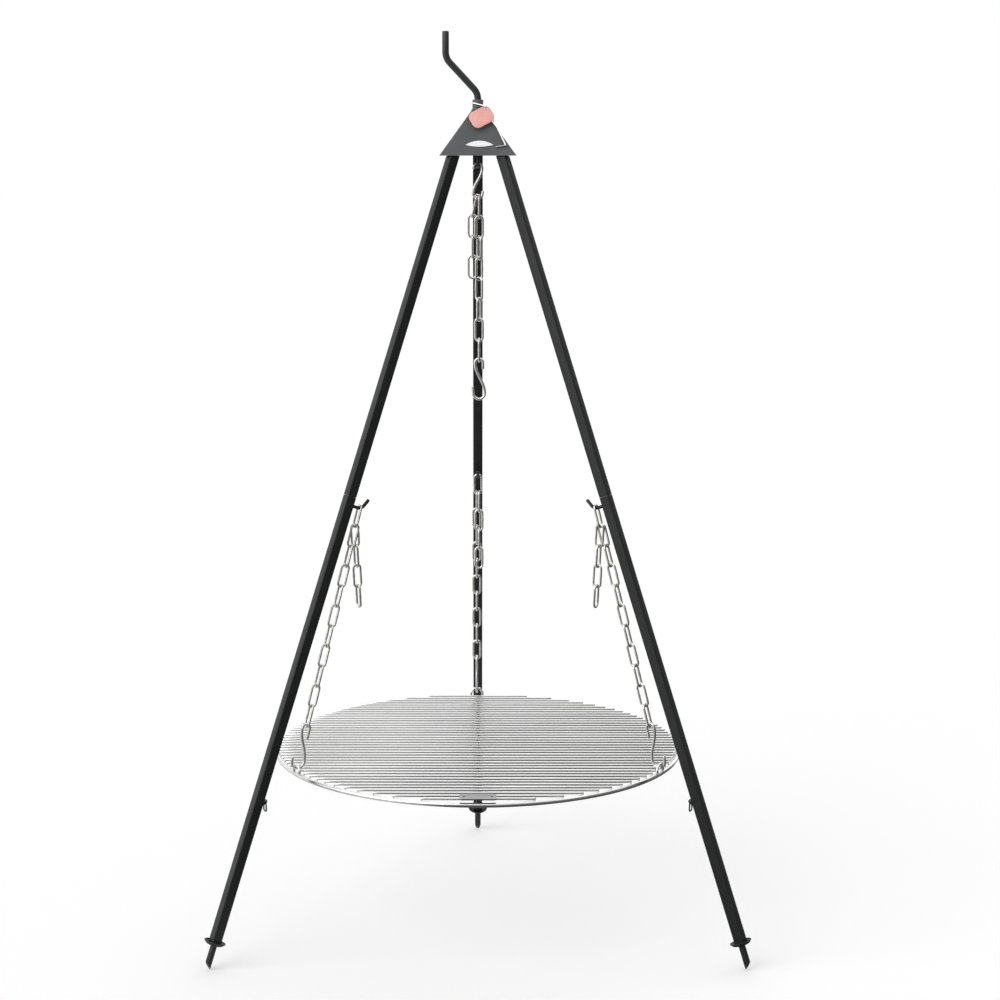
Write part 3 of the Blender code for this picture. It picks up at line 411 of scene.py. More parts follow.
def build_tone_group() -> bpy.types.NodeTree:
    """Group that mixes two colours by a noise of four octaves, and puts out the mask too.

    Returns:
        The group's tree.
    """
    tree = group_tree("two_tone", {"Light": ("NodeSocketColor", (0.8, 0.8, 0.8, 1.0)),
                                   "Dark": ("NodeSocketColor", (0.2, 0.2, 0.2, 1.0)),
                                   "Scale": ("NodeSocketFloat", 40.0),
                                   "Stretch": ("NodeSocketVector", (1.0, 1.0, 1.0))},
                      {"Color": "NodeSocketColor", "Mask": "NodeSocketFloat"})
    nodes = Nodes(tree)
    given, result = nodes.add("NodeGroupInput"), nodes.add("NodeGroupOutput")
    place = nodes.add("ShaderNodeTexCoord")
    stretch = nodes.add("ShaderNodeMapping")
    noise = nodes.add("ShaderNodeTexNoise", _Detail=4.0, _Roughness=0.6)
    curve = nodes.add("ShaderNodeMapRange", _From_Min=0.32, _From_Max=0.68)
    mix = nodes.add("ShaderNodeMix", data_type="RGBA")
    nodes.join((place, "Object", stretch, "Vector"), (given, "Stretch", stretch, "Scale"),
               (stretch, "Vector", noise, "Vector"), (given, "Scale", noise, "Scale"),
               (noise, "Fac", curve, "Value"), (curve, "Result", mix, "Factor"),
               (given, "Dark", mix, COLOR_A), (given, "Light", mix, COLOR_B),
               (mix, COLOR_OUT, result, "Color"), (curve, "Result", result, "Mask"))
    return tree


def build_relief_group() -> bpy.types.NodeTree:
    """Group that puts out a height from two noises, a broad one and one four times as fine.

    Returns:
        The group's tree.
    """
    tree = group_tree("fine_relief", {"Scale": ("NodeSocketFloat", 400.0),
                                      "Stretch": ("NodeSocketVector", (1.0, 1.0, 1.0)),
                                      "Fine Share": ("NodeSocketFloat", 0.4)}, {"Height": "NodeSocketFloat"})
    nodes = Nodes(tree)
    given, result = nodes.add("NodeGroupInput"), nodes.add("NodeGroupOutput")
    place = nodes.add("ShaderNodeTexCoord")
    stretch = nodes.add("ShaderNodeMapping")
    broad = nodes.add("ShaderNodeTexNoise", _Detail=2.0)
    finer = nodes.add("ShaderNodeMath", operation="MULTIPLY")
    times_as_fine = 4.0
    finer.inputs[1].default_value = times_as_fine
    fine = nodes.add("ShaderNodeTexNoise", _Detail=3.0)
    blend = nodes.add("ShaderNodeMix", data_type="FLOAT")
    nodes.join((place, "Object", stretch, "Vector"), (given, "Stretch", stretch, "Scale"),
               (stretch, "Vector", broad, "Vector"), (stretch, "Vector", fine, "Vector"),
               (given, "Scale", broad, "Scale"), (given, "Scale", finer, 0), (finer, "Value", fine, "Scale"),
               (given, "Fine Share", blend, "Factor"), (broad, "Fac", blend, FLOAT_A),
               (fine, "Fac", blend, FLOAT_B), (blend, FLOAT_OUT, result, "Height"))
    return tree


def build_wear_group() -> bpy.types.NodeTree:
    """Group that puts out a mask of scuffs: broken noise that grows towards a height above the ground.

    Returns:
        The group's tree.
    """
    tree = group_tree("scuffs", {"Scale": ("NodeSocketFloat", 300.0), "Full At": ("NodeSocketFloat", 0.0),
                                 "None At": ("NodeSocketFloat", 0.03)}, {"Mask": "NodeSocketFloat"})
    nodes = Nodes(tree)
    given, result = nodes.add("NodeGroupInput"), nodes.add("NodeGroupOutput")
    place = nodes.add("ShaderNodeTexCoord")
    split = nodes.add("ShaderNodeSeparateXYZ")
    height = nodes.add("ShaderNodeMapRange", _To_Min=0.62, _To_Max=0.0)
    noise = nodes.add("ShaderNodeTexNoise", _Detail=5.0, _Roughness=0.65)
    total = nodes.add("ShaderNodeMath", operation="ADD")
    broken = nodes.add("ShaderNodeMapRange", _From_Min=0.78, _From_Max=0.9)
    nodes.join((place, "Object", split, "Vector"), (place, "Object", noise, "Vector"),
               (given, "Scale", noise, "Scale"), (split, "Z", height, "Value"),
               (given, "Full At", height, "From Min"), (given, "None At", height, "From Max"),
               (height, "Result", total, 0), (noise, "Fac", total, 1),
               (total, "Value", broken, "Value"), (broken, "Result", result, "Mask"))
    return tree


@dataclass(frozen=True)
class Groups:
    """The shader node groups that the finishes share."""

    tone: bpy.types.NodeTree
    relief: bpy.types.NodeTree
    wear: bpy.types.NodeTree


@dataclass(frozen=True)
class Finish:
    """A surface with two tones, a roughness that follows them and a fine relief.

    Colours are linear red, green and blue. Scales are cells in a metre; the relief's depth is in metres.
    """

    name: str
    light: tuple[float, float, float]
    dark: tuple[float, float, float]
    metallic: float
    smooth_rough: float
    matt_rough: float
    tone_scale: float = 60.0
    relief_scale: float = 500.0
    relief_depth: float = 0.00004
    grain: Grain = Grain.EVEN
    coat: float = 0.0
    gloss: float = 0.5
    worn: tuple[float, float, float] | None = None
    worn_below: float = 0.03

    def material(self, groups: Groups) -> bpy.types.Material:
        """Build the finish as a material.

        Args:
            groups: The shared node groups.

        Returns:
            The material, with one Principled shader.
        """
        material = bpy.data.materials.new(self.name)
        material.use_nodes = True
        nodes = Nodes(material.node_tree)
        shader = material.node_tree.nodes["Principled BSDF"]
        shader.inputs["Metallic"].default_value = self.metallic
        shader.inputs["Coat Weight"].default_value = self.coat
        shader.inputs["Specular IOR Level"].default_value = self.gloss
        tone = nodes.add("ShaderNodeGroup", node_tree=groups.tone, _Light=(*self.light, 1.0),
                         _Dark=(*self.dark, 1.0), _Scale=self.tone_scale, _Stretch=self.grain.value)
        rough = nodes.add("ShaderNodeMapRange", _To_Min=self.matt_rough, _To_Max=self.smooth_rough)
        relief = nodes.add("ShaderNodeGroup", node_tree=groups.relief, _Scale=self.relief_scale,
                           _Stretch=self.grain.value)
        bump = nodes.add("ShaderNodeBump", _Distance=self.relief_depth, _Strength=1.0)
        colour: tuple[bpy.types.Node, str | int] = (tone, "Color")
        if self.worn is not None:
            wear = nodes.add("ShaderNodeGroup", node_tree=groups.wear, _None_At=self.worn_below)
            bare = nodes.add("ShaderNodeMix", data_type="RGBA")
            bare.inputs[COLOR_B].default_value = (*self.worn, 1.0)
            nodes.join((wear, "Mask", bare, "Factor"), (*colour, bare, COLOR_A))
            colour = (bare, COLOR_OUT)
        nodes.join((*colour, shader, "Base Color"), (tone, "Mask", rough, "Value"),
                   (rough, "Result", shader, "Roughness"), (relief, "Height", bump, "Height"),
                   (bump, "Normal", shader, "Normal"))
        return material


FINISHES = {
    "painted_cap": Finish("charcoal_cap_paint", (0.092, 0.094, 0.098), (0.076, 0.078, 0.081), 0.0, 0.44, 0.54,
                          tone_scale=45.0, relief_scale=900.0, relief_depth=0.00003, gloss=0.45),
    "painted_rod": Finish("black_rod_paint", (0.024, 0.026, 0.026), (0.017, 0.018, 0.018), 0.0, 0.38, 0.48,
                          tone_scale=70.0, relief_scale=900.0, relief_depth=0.00003, gloss=0.4),
    "leg_paint": Finish("black_leg_paint", (0.013, 0.014, 0.014), (0.008, 0.009, 0.009), 0.0, 0.38, 0.48,
                        tone_scale=30.0, relief_scale=800.0, relief_depth=0.00003, gloss=0.35),
    "leg_fitting": Finish("black_fitting_paint", (0.012, 0.013, 0.013), (0.007, 0.008, 0.008), 0.0, 0.34,
                          0.46, tone_scale=90.0, relief_scale=900.0, relief_depth=0.00003, gloss=0.35),
    "peg": Finish("worn_peg_paint", (0.018, 0.019, 0.019), (0.011, 0.012, 0.012), 0.0, 0.38, 0.5,
                  tone_scale=90.0, relief_scale=900.0, gloss=0.35, worn=(0.075, 0.072, 0.069),
                  worn_below=0.012),
    "chain": Finish("bright_zinc_chain", (0.74, 0.73, 0.70), (0.54, 0.53, 0.50), 1.0, 0.15, 0.28,
                    tone_scale=260.0, relief_scale=900.0, relief_depth=0.00002),
    "s_hook": Finish("bright_zinc_hook", (0.76, 0.75, 0.72), (0.58, 0.57, 0.54), 1.0, 0.14, 0.25,
                     tone_scale=220.0, relief_scale=900.0, relief_depth=0.00002),
    "grate_wire": Finish("polished_grate_wire", (0.80, 0.80, 0.795), (0.64, 0.64, 0.64), 1.0, 0.15, 0.28,
                         tone_scale=80.0, relief_scale=900.0, relief_depth=0.000002, grain=Grain.ALONG_X),
    # Painted shade: the cross bar's steel is darker than the bars' to stand in for the shade of the bars
    # above it; it is also rougher
    "cross_wire": Finish("dull_cross_wire", (0.15, 0.15, 0.15), (0.09, 0.09, 0.09), 1.0, 0.30, 0.46,
                         tone_scale=80.0, relief_scale=900.0, relief_depth=0.000004, grain=Grain.ALONG_Y),
    "grate_plate": Finish("satin_plate", (0.30, 0.30, 0.30), (0.19, 0.19, 0.19), 1.0, 0.30, 0.44,
                          tone_scale=160.0, relief_scale=1500.0, relief_depth=0.00001, grain=Grain.ALONG_X),
    "spigot": Finish("bare_spigot_steel", (0.50, 0.49, 0.48), (0.40, 0.39, 0.38), 1.0, 0.32, 0.46,
                     tone_scale=120.0, grain=Grain.ALONG_Z),
    "stop_ring": Finish("zinc_stop_ring", (0.56, 0.56, 0.54), (0.46, 0.46, 0.45), 1.0, 0.28, 0.42,
                        tone_scale=200.0),
    "wire_tie": Finish("bright_tie_wire", (0.80, 0.80, 0.79), (0.66, 0.66, 0.65), 1.0, 0.14, 0.24,
                       tone_scale=300.0, relief_scale=1200.0, relief_depth=0.00001),
    "tag": Finish("plain_red_tag", (0.87, 0.43, 0.375), (0.80, 0.375, 0.33), 0.0, 0.32, 0.42,
                  tone_scale=120.0, relief_scale=900.0, relief_depth=0.00002, coat=0.15),
    "label": Finish("blank_white_label", (0.93, 0.93, 0.93), (0.89, 0.89, 0.89), 0.0, 0.36, 0.44,
                    tone_scale=150.0, relief_scale=900.0, relief_depth=0.00001),
}


class Workshop:
    """Keeps the finishes as materials, and dresses pieces and nodes with them."""

    def __init__(self) -> None:
        """Make every finish once."""
        groups = Groups(build_tone_group(), build_relief_group(), build_wear_group())
        self.materials = {name: finish.material(groups) for name, finish in FINISHES.items()}

    def show(self, shape: Shape, name: str, body: str, slot: str, node: str, crease: float = 60.0,
             finish: str | None = None) -> None:
        """Make a piece of a shape, dress it and let it ride on a body.

        Args:
            shape: Its points and faces, in the frame's axes.
            name: Name of the piece.
            body: Body of the frame that carries it.
            slot: Material slot of the record.
            node: Node of the frame that it replaces.
            crease: Angle in degrees past which its edges stay sharp.
            finish: Name of its finish, or None where it is called as the slot is.
        """
        piece = bpy.data.objects.new(name, shape.mesh(name, crease))
        bpy.context.scene.collection.objects.link(piece)
        piece.data.materials.append(self.materials[finish or slot])
        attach(piece, body)
        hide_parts(node)
        LOG.info("%s: %d faces on body %s", name, len(piece.data.polygons), body)

    def repaint(self, finish: str, *names: str) -> None:
        """Give nodes of the frame a better material.

        Args:
            finish: Name of the finish.
            *names: Names of the nodes.
        """
        for name in names:
            for place in frame["nodes"][name].material_slots:
                place.material = self.materials[finish]
            LOG.info("%s: frame node with finish %s", name, finish)


@dataclass
class Chain:
    """Welded long-link chain of round wire."""

    wire: float = 0.0034
    width: float = 0.015
    pitch: float = 0.0306
    fuse: float = 0.0005        # by which the frame's links run into each other
    beside: float = 0.00175     # offset of two links that share one bend
    sides: int = 12
    bend_steps: int = 12
    straight_steps: int = 6
    weld_swell: float = 0.13    # share by which the wire is thicker at its weld
    weld_length: float = 0.0017

    @property
    def bend(self) -> float:
        """Radius of a link's bends, on the wire's centre."""
        return 0.5 * (self.width - self.wire)

    @property
    def shared_rise(self) -> float:
        """Height of a link that leans on one side of another's bend, above one in the bend's middle."""
        room = self.bend - self.wire
        return room - math.sqrt(room ** 2 - self.beside ** 2)

    def run(self, shape: Shape, count: int, matrix: Matrix, first_turn: float, extra_turn: float = 0.0,
            top: float = 0.0, length: float | None = None) -> None:
        """Add links that hang from a height, each a quarter turn on from the last.

        A link's centre line is two half circles of radius `bend` joined by straight runs. Its wire swells
        by a bell curve at the weld, in the middle of one straight run.

        Args:
            shape: Shape that takes the links.
            count: Number of links.
            matrix: Frame that the chain hangs down from.
            first_turn: Turn of the first link's plane from the YZ plane, in radians.
            extra_turn: Turn added to each quarter turn.
            top: Height of the first link's inside top.
            length: Inside length of the whole run, or None for the frame's own.
        """
        whole = count * self.pitch - self.fuse if length is None else length
        inside = whole / count
        reach = self.bend - 0.5 * self.wire
        upper = arc((0.0, -reach), self.bend, 0.0, 180.0, self.bend_steps)
        lower = arc((0.0, reach - inside), self.bend, 180.0, 360.0, self.bend_steps)
        down, up = (between(start, stop, self.straight_steps)
                    for start, stop in ((upper[-1], lower[0]), (lower[-1], upper[0])))
        flat = np.concatenate([upper, down, lower, up])
        middle = -0.5 * inside
        swell = np.exp(-((flat[:, 1] - middle) / self.weld_length) ** 2) * (flat[:, 0] > 0.9 * self.bend)
        radii = 0.5 * self.wire * (1.0 + self.weld_swell * swell)
        for index in range(count):
            turn = first_turn + index * (QUARTER_TURN + extra_turn)
            place = matrix @ shift(z=top - index * inside) @ Matrix.Rotation(turn, 4, "Z")
            shape.wire(in_plane(flat, 1, 2), radii, self.sides, (1.0, 0.0, 0.0), closed=True, matrix=place)


@dataclass
class SHook:
    """S-hook of round wire in the XZ plane, hanging from a seat at its origin."""

    length: float
    upper: float
    lower: float
    upper_end: float
    lower_end: float
    wire: float = 0.004
    mirrored: bool = False
    bend_steps: int = 18
    shank_steps: int = 16
    sides: int = 14
    fullness: float = 1.15      # how far the shank runs straight out of its bends
    flare: float = 0.12         # share of its length by which the lower end leans out

    def add(self, shape: Shape, matrix: Matrix) -> None:
        """Add the hook: a half circle at each end, and between them a cubic that leaves both upright.

        Args:
            shape: Shape that takes the hook.
            matrix: Frame whose origin is the seat, with the hook hanging down.
        """
        half = 0.5 * self.wire
        top, low = half - self.upper, self.lower - self.length - half
        over = arc((0.0, top), self.upper, 180.0, 0.0, self.bend_steps)
        under = arc((0.0, low), self.lower, 180.0, 360.0, self.bend_steps)
        start, stop = over[-1], under[0]
        slope = np.array([0.0, self.fullness * (stop[1] - start[1])])
        t = np.linspace(0.0, 1.0, self.shank_steps + 1)[1:-1, None]
        shank = ((1 + 2 * t) * (1 - t) ** 2 * start + t * (1 - t) ** 2 * slope
                 + t ** 2 * (3 - 2 * t) * stop + t ** 2 * (t - 1) * slope)
        first = np.array([[-self.upper, top - self.upper_end]])
        last = np.array([[self.lower + self.flare * self.lower_end, low + self.lower_end]])
        flat = np.concatenate([first, over, shank, under, last])
        flat[:, 0] *= -1.0 if self.mirrored else 1.0
        path, radii = nosed(in_plane(flat, 0, 2), half, 0.6 * half)
        shape.wire(path, radii, self.sides, (0.0, 1.0, 0.0), matrix=matrix)


@dataclass
class Cap:
    """Sheet pyramid over the legs, with its collar and its blank label."""

    shop: Workshop
    face_lean: float = math.radians(23.06)
    wall: float = 0.0015
    corner_power: float = 44.0
    edge: float = 0.0003            # ease of the sheet's edges
    point_room: float = 0.0012      # sheet round the collar, outside
    bore_room: float = 0.00005      # play round the collar, inside
    collar_radius: float = 0.008
    collar_length: float = 0.038
    rod_radius: float = 0.005
    label_length: float = 0.041
    label_height: float = 0.0092
    label_thickness: float = 0.0008
    label_right: float = 0.0025
    label_up_face: float = 0.0139
    label_foot: float = 0.3         # share of its height that lies below its two ends
    label_middle: float = 0.45      # share of its height at which its dome is centred
    label_gap: float = 0.0002
    turned_steps: int = 64
    inradius: float = field(init=False)
    rim: float = field(init=False)
    top: float = field(init=False)
    collar_top: float = field(init=False)

    def __post_init__(self) -> None:
        """Read the cap's place from the frame."""
        low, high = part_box("cap")
        self.inradius, self.rim, self.top = -low.y, low.z, high.z
        self.collar_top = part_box("collar")[1].z

    @property
    def face(self) -> Matrix:
        """Frame on the front face: X to the right, Y up the slope, Z out of the face."""
        return shift(y=-self.inradius, z=self.rim) @ Matrix.Rotation(QUARTER_TURN - self.face_lean, 4, "X")

    def rings(self, heights: np.ndarray, inset: float, least: float) -> np.ndarray:
        """Rings of the pyramid with soft corners, no narrower than the collar.

        The radius at angle a is d / (sum of cos(a - f) ^ p) ^ (1 / p) over the three face normals f, where d
        is the distance from the axis to a face, and it is never less than `least`.

        Args:
            heights: Height of each ring above the rim.
            inset: Distance by which the faces are moved in, level.
            least: Least radius.

        Returns:
            Array of rings, points and three coordinates.
        """
        angles = np.radians(np.linspace(0.0, 360.0, 361)[:-1])
        normals = np.radians([30.0, 150.0, 270.0])
        facing = np.clip(np.cos(angles[:, None] - normals[None, :]), 0.0, None)
        spread = np.sum(facing ** self.corner_power, axis=1) ** (-1.0 / self.corner_power)
        distance = self.inradius - inset - heights * math.tan(self.face_lean)
        radius = np.maximum(distance[:, None] * spread[None, :], least)
        high = np.broadcast_to((self.rim + heights)[:, None], radius.shape)
        return np.stack([radius * np.cos(angles), radius * np.sin(angles), high], axis=-1)

    def build(self) -> None:
        """Build the shell, collar and label, and dress the plate inside."""
        rise = self.top - self.rim
        level = self.wall / math.cos(self.face_lean)
        bore = self.collar_radius + self.bore_room
        out = np.concatenate([[0.0, self.edge], np.linspace(0.003, rise - 0.010, 12),
                              np.linspace(rise - 0.008, rise, 8)])
        outer = self.rings(out, 0.0, self.collar_radius + self.point_room)
        outer[0] = self.rings(out[:1], self.edge, 0.0)[0]
        inner = self.rings(out[:-3], level, bore)[::-1]
        inner[-1] = self.rings(out[:1], level - self.edge, 0.0)[0]
        close = self.rings(out[-1:], 0.02, bore)    # moved in so far that only the bore is left
        shell = Shape()
        shell.grid(np.concatenate([outer, close, inner]), ring=True)
        self.shop.show(shell, "cap_shell", "frame", "painted_cap", "cap", 30.0)
        self.build_collar()
        self.build_label()
        self.shop.repaint("painted_cap", "hub_plate")

    def build_collar(self) -> None:
        """Turn the collar and the weld that joins it to the cap."""
        r, top, low = self.collar_radius, self.collar_top, self.collar_top - self.collar_length
        inside, round_over, chamfer = self.rod_radius + 0.0003, 0.0007, 0.0005
        lip = arc((r - round_over, top - round_over), round_over, 0, 90, 4)
        profile = np.concatenate([[(r, low), (r, top - round_over)], lip,
                                  [(inside + chamfer, top), (inside, top - chamfer), (inside, low)]])
        weld = arc((r + 0.0005, self.top + 0.0003), 0.0011, -150.0, 120.0, 8)
        collar = Shape()
        for outline in (profile, weld):
            collar.turned(outline, self.turned_steps, Matrix.Identity(4))
        self.shop.show(collar, "rod_collar", "frame", "painted_cap", "collar", 45.0)

    def label_arc(self, rise: float) -> np.ndarray:
        """Arc over the label's length: a circle through its two ends and a point above their middle.

        Args:
            rise: Height of that point above the ends.

        Returns:
            Rows of two coordinates, from the right end to the left one.
        """
        radius = (0.25 * self.label_length ** 2 + rise ** 2) / (2.0 * rise)
        reach = math.degrees(math.asin(0.5 * self.label_length / radius))
        return arc((0.0, rise - radius), radius, 90.0 - reach, 90.0 + reach, 40)

    def build_label(self) -> None:
        """Blank label: a low dome over a lens outline, an arched top over a flatter arched foot."""
        foot_depth = self.label_foot * self.label_height
        upper = self.label_arc(self.label_height - foot_depth)
        lower = self.label_arc(foot_depth)
        outline = np.concatenate([upper, (lower * (1, -1))[::-1][1:-1]]) + (0.0, foot_depth)
        centre = np.array([0.0, self.label_middle * self.label_height])
        share = np.array([1.0, 1.0, 0.985, 0.95, 0.7, 0.35, 0.05])
        height = np.array([0.0003, 0.75, 0.93, 1.0, 1.0, 1.0, 1.0]) * self.label_thickness
        flat = centre + share[:, None, None] * (outline - centre)
        rows = np.concatenate([flat, np.broadcast_to(height[:, None, None], (*flat.shape[:2], 1))], axis=-1)
        label = Shape()
        place = self.face @ shift(self.label_right, self.label_up_face, self.label_gap)
        label.grid(carried(rows, place), capped=True)
        self.shop.show(label, "blank_label", "frame", "label", "face_label", 50.0)


@dataclass
class TurningRod:
    """Cranked rod that turns in the collar, flattened and drilled at its foot."""

    shop: Workshop
    cap: Cap
    radius: float = 0.005
    grip_offset: float = 0.0475
    grip_length: float = 0.0395
    slope_rise: float = 0.0507
    neck: float = 0.0095
    bend: float = 0.023
    lug_width: float = 0.016
    lug_thickness: float = 0.005
    lug_hole: float = 0.009
    lug_below_rim: float = 0.0105
    lug_edge: float = 0.0035
    lug_length: float = 0.016
    lug_ease: float = 0.0006
    flattening: float = 0.014       # length over which the round rod turns flat
    widening: float = 1.25          # by which it gets wider as it gets thinner
    straight: float = 0.020
    sides: int = 28

    def centre_line(self) -> np.ndarray:
        """Path of the rod in the XZ plane: straight runs joined by arcs of one radius.

        A point of an arc is its centre plus the two end spokes, weighed by the sines of the angles left and
        gone, over the sine of the whole.

        Returns:
            Rows of three coordinates, from the foot to the grip's end.
        """
        hole = self.cap.rim - self.lug_below_rim
        neck = self.cap.collar_top + self.neck
        top = neck + self.slope_rise
        corners = np.array([(0.0, hole + 0.5 * self.lug_length), (0.0, neck), (-self.grip_offset, top),
                            (-self.grip_offset, top + self.grip_length)])
        above = corners[0] + (0.0, self.straight)
        runs = [corners[:1], between(corners[0], above, 8), [above]]
        for before, corner, after in zip(corners, corners[1:], corners[2:]):
            back, ahead = unit(before - corner), unit(after - corner)
            half = 0.5 * math.acos(float(back @ ahead))
            centre = corner + unit(back + ahead) * self.bend / math.sin(half)
            start = corner + back * self.bend / math.tan(half) - centre
            stop = corner + ahead * self.bend / math.tan(half) - centre
            sweep = math.pi - 2.0 * half
            share = np.linspace(0.0, 1.0, 13)[:, None]
            spokes = start * np.sin((1 - share) * sweep) + stop * np.sin(share * sweep)
            runs.append(centre + spokes / math.sin(sweep))
        runs.append(corners[-1:])
        return in_plane(np.concatenate(runs), 0, 2)

    def build(self) -> None:
        """Build the rod with its foot, and dress the stop ring."""
        path, radii = nosed(self.centre_line(), self.radius, 0.0012)
        hole = self.cap.rim - self.lug_below_rim
        roundness = np.clip((path[:, 2] - hole - 0.5 * self.lug_length) / self.flattening, 0.0, 1.0)
        roundness = roundness ** 2 * (3.0 - 2.0 * roundness)
        thin = 0.5 * self.lug_thickness / self.radius
        sizes = np.stack([radii * (thin + (1.0 - thin) * roundness),
                          radii * (self.widening - (self.widening - 1.0) * roundness)], axis=-1)
        rod = Shape()
        rod.wire(path, sizes, self.sides, (0.0, 1.0, 0.0))
        self.add_lug(rod, hole)
        self.shop.show(rod, "cranked_rod", "turning_rod", "painted_rod", "turning_rod", 50.0)
        self.shop.repaint("stop_ring", "rod_stop_ring")

    def add_lug(self, shape: Shape, hole: float) -> None:
        """Add the flat foot: rays from the hole's centre run from the hole to the foot's convex outline.

        Args:
            shape: Shape that takes the foot.
            hole: Height of the hole's centre.
        """
        reach, least = 0.5 * self.lug_hole + self.lug_edge, 0.000001
        angles = np.radians(np.linspace(0.0, 360.0, 73)[:-1])
        ray = np.stack([np.cos(angles), np.sin(angles)], axis=-1)
        oval = 1.0 / np.hypot(ray[:, 0] / (0.5 * self.lug_width), ray[:, 1] / reach)
        corner = np.array([0.5 * self.lug_width, 0.4 * self.lug_length])
        shoulder = np.array([self.radius, self.lug_length])
        square = np.array([shoulder[1] - corner[1], corner[0] - shoulder[0]])
        toward = np.maximum(ray @ square, ray * (-1, 1) @ square)
        flank = float(square @ corner) / np.maximum(toward, least)
        upper = np.minimum(np.minimum(0.5 * self.lug_width / np.maximum(abs(ray[:, 0]), least), flank),
                           self.lug_length / np.maximum(ray[:, 1], least))
        outline = np.where(ray[:, 1] > 0.0, upper, oval)
        half, edge = 0.5 * self.lug_thickness, self.lug_ease
        bore = np.full_like(outline, 0.5 * self.lug_hole)
        radius = np.stack([bore + edge, outline - edge, outline, outline, outline - edge, bore + edge, bore,
                           bore])
        level = np.array([half, half, half - edge, edge - half, -half, -half, edge - half, half - edge])
        points = np.stack([np.broadcast_to(level[:, None], radius.shape), radius * ray[:, 0],
                           hole + radius * ray[:, 1]], axis=-1)
        shape.grid(points, ring=True)


@dataclass
class Tag:
    """Plain tag on a bent wire that is looped round the collar."""

    shop: Workshop
    cap: Cap
    wire: float = 0.0021
    length: float = 0.035
    width: float = 0.027
    thickness: float = 0.0025
    corner: float = 0.009
    tilt: float = math.radians(30.0)
    hole: float = 0.0042
    hole_edge: float = 0.0050
    stand_off: float = 0.0055
    hole_right: float = 0.0120
    hole_up_face: float = 0.0715
    ease: float = 0.0007            # rounding of its outer edges
    bore_ease: float = 0.0003
    corner_steps: int = 20
    loop_points: int = 9
    loop_start: float = 60.0        # degrees
    loop_step: float = 22.5         # degrees
    loop_fall: float = 0.0045
    paint_gap: float = 0.0006       # between the wire and what it lies on
    sides: int = 12

    def build(self) -> None:
        """Build the tag and its wire."""
        self.build_plate()
        self.build_wire()

    def build_plate(self) -> None:
        """Plate with rounded edges: rays from the hole's centre run to the outline of a rounded oblong."""
        half = np.array([0.5 * self.length, 0.5 * self.width])
        outline = rounded_oblong(half, self.corner, self.corner_steps) - (half - self.hole_edge)
        ray = unit(outline)
        reach = np.linalg.norm(outline, axis=1)
        bore = np.full_like(reach, 0.5 * self.hole)
        edge, small, thick = self.ease, self.bore_ease, self.thickness
        round_over = np.radians([90.0, 60.0, 30.0, 0.0])
        outer = [reach - edge + edge * math.cos(a) for a in round_over]
        rise = [thick - edge + edge * math.sin(a) for a in round_over]
        radius = np.stack([bore + small, 0.5 * (bore + reach), *outer, *outer[::-1], 0.5 * (bore + reach),
                           bore + small, bore, bore])
        fall = [thick - height for height in rise[::-1]]
        level = np.array([thick, thick, *rise, *fall, 0.0, 0.0, small, thick - small])
        flat = radius[:, :, None] * ray[None, :, :]
        points = np.concatenate([flat, np.broadcast_to(level[:, None, None], (*radius.shape, 1))], axis=-1)
        place = Matrix.Translation(joint_place("tag_swing")) @ self.cap.face.to_3x3().to_4x4()
        plate = Shape()
        plate.grid(carried(points, place @ Matrix.Rotation(self.tilt, 4, "Z")), ring=True)
        self.shop.show(plate, "plain_tag", "tag", "tag", "tag", 40.0)

    def build_wire(self) -> None:
        """Wire on a smooth curve: round the collar, through the tag's hole and down the cap's face.

        Its points are worked out in the frame of the face, where the third coordinate is the height over it.
        """
        to_face = self.cap.face.inverted()
        loop = self.cap.collar_radius + self.paint_gap + 0.5 * self.wire
        steps = np.arange(self.loop_points)
        turns = np.radians(self.loop_start + self.loop_step * steps)
        height = self.cap.collar_top - 0.001 - self.loop_fall * steps / steps[-1]
        ring = carried(np.stack([loop * np.cos(turns), loop * np.sin(turns), height], axis=-1), to_face)
        front = self.stand_off + self.thickness + self.wire
        behind = self.stand_off - self.wire
        flat = 0.5 * self.wire + self.paint_gap
        x, y = self.hole_right, self.hole_up_face
        rest = np.array([(x - 0.0022, y + 0.0024, front), (x - 0.0004, y + 0.0004, front - 0.4 * self.wire),
                         (x + 0.0004, y - 0.0004, behind + 0.4 * self.wire), (x + 0.0022, y - 0.0040, behind),
                         (0.0240, 0.0520, behind), (0.0395, 0.0185, flat + 0.0010),
                         (0.0402, 0.0163, flat + 0.0006), (0.0386, 0.0147, flat + 0.0004),
                         (0.0300, 0.0136, flat), (0.0262, 0.0124, flat)])
        curve = smooth_curve(np.concatenate([ring, rest]), 8)
        path, radii = nosed(curve, 0.5 * self.wire, 0.0005)
        never_along = (0.37, -0.21, 0.9)
        bent = Shape()
        bent.wire(path, radii, self.sides, never_along, matrix=self.cap.face)
        self.shop.show(bent, "tag_tie_wire", "frame", "wire_tie", "tag_wire")


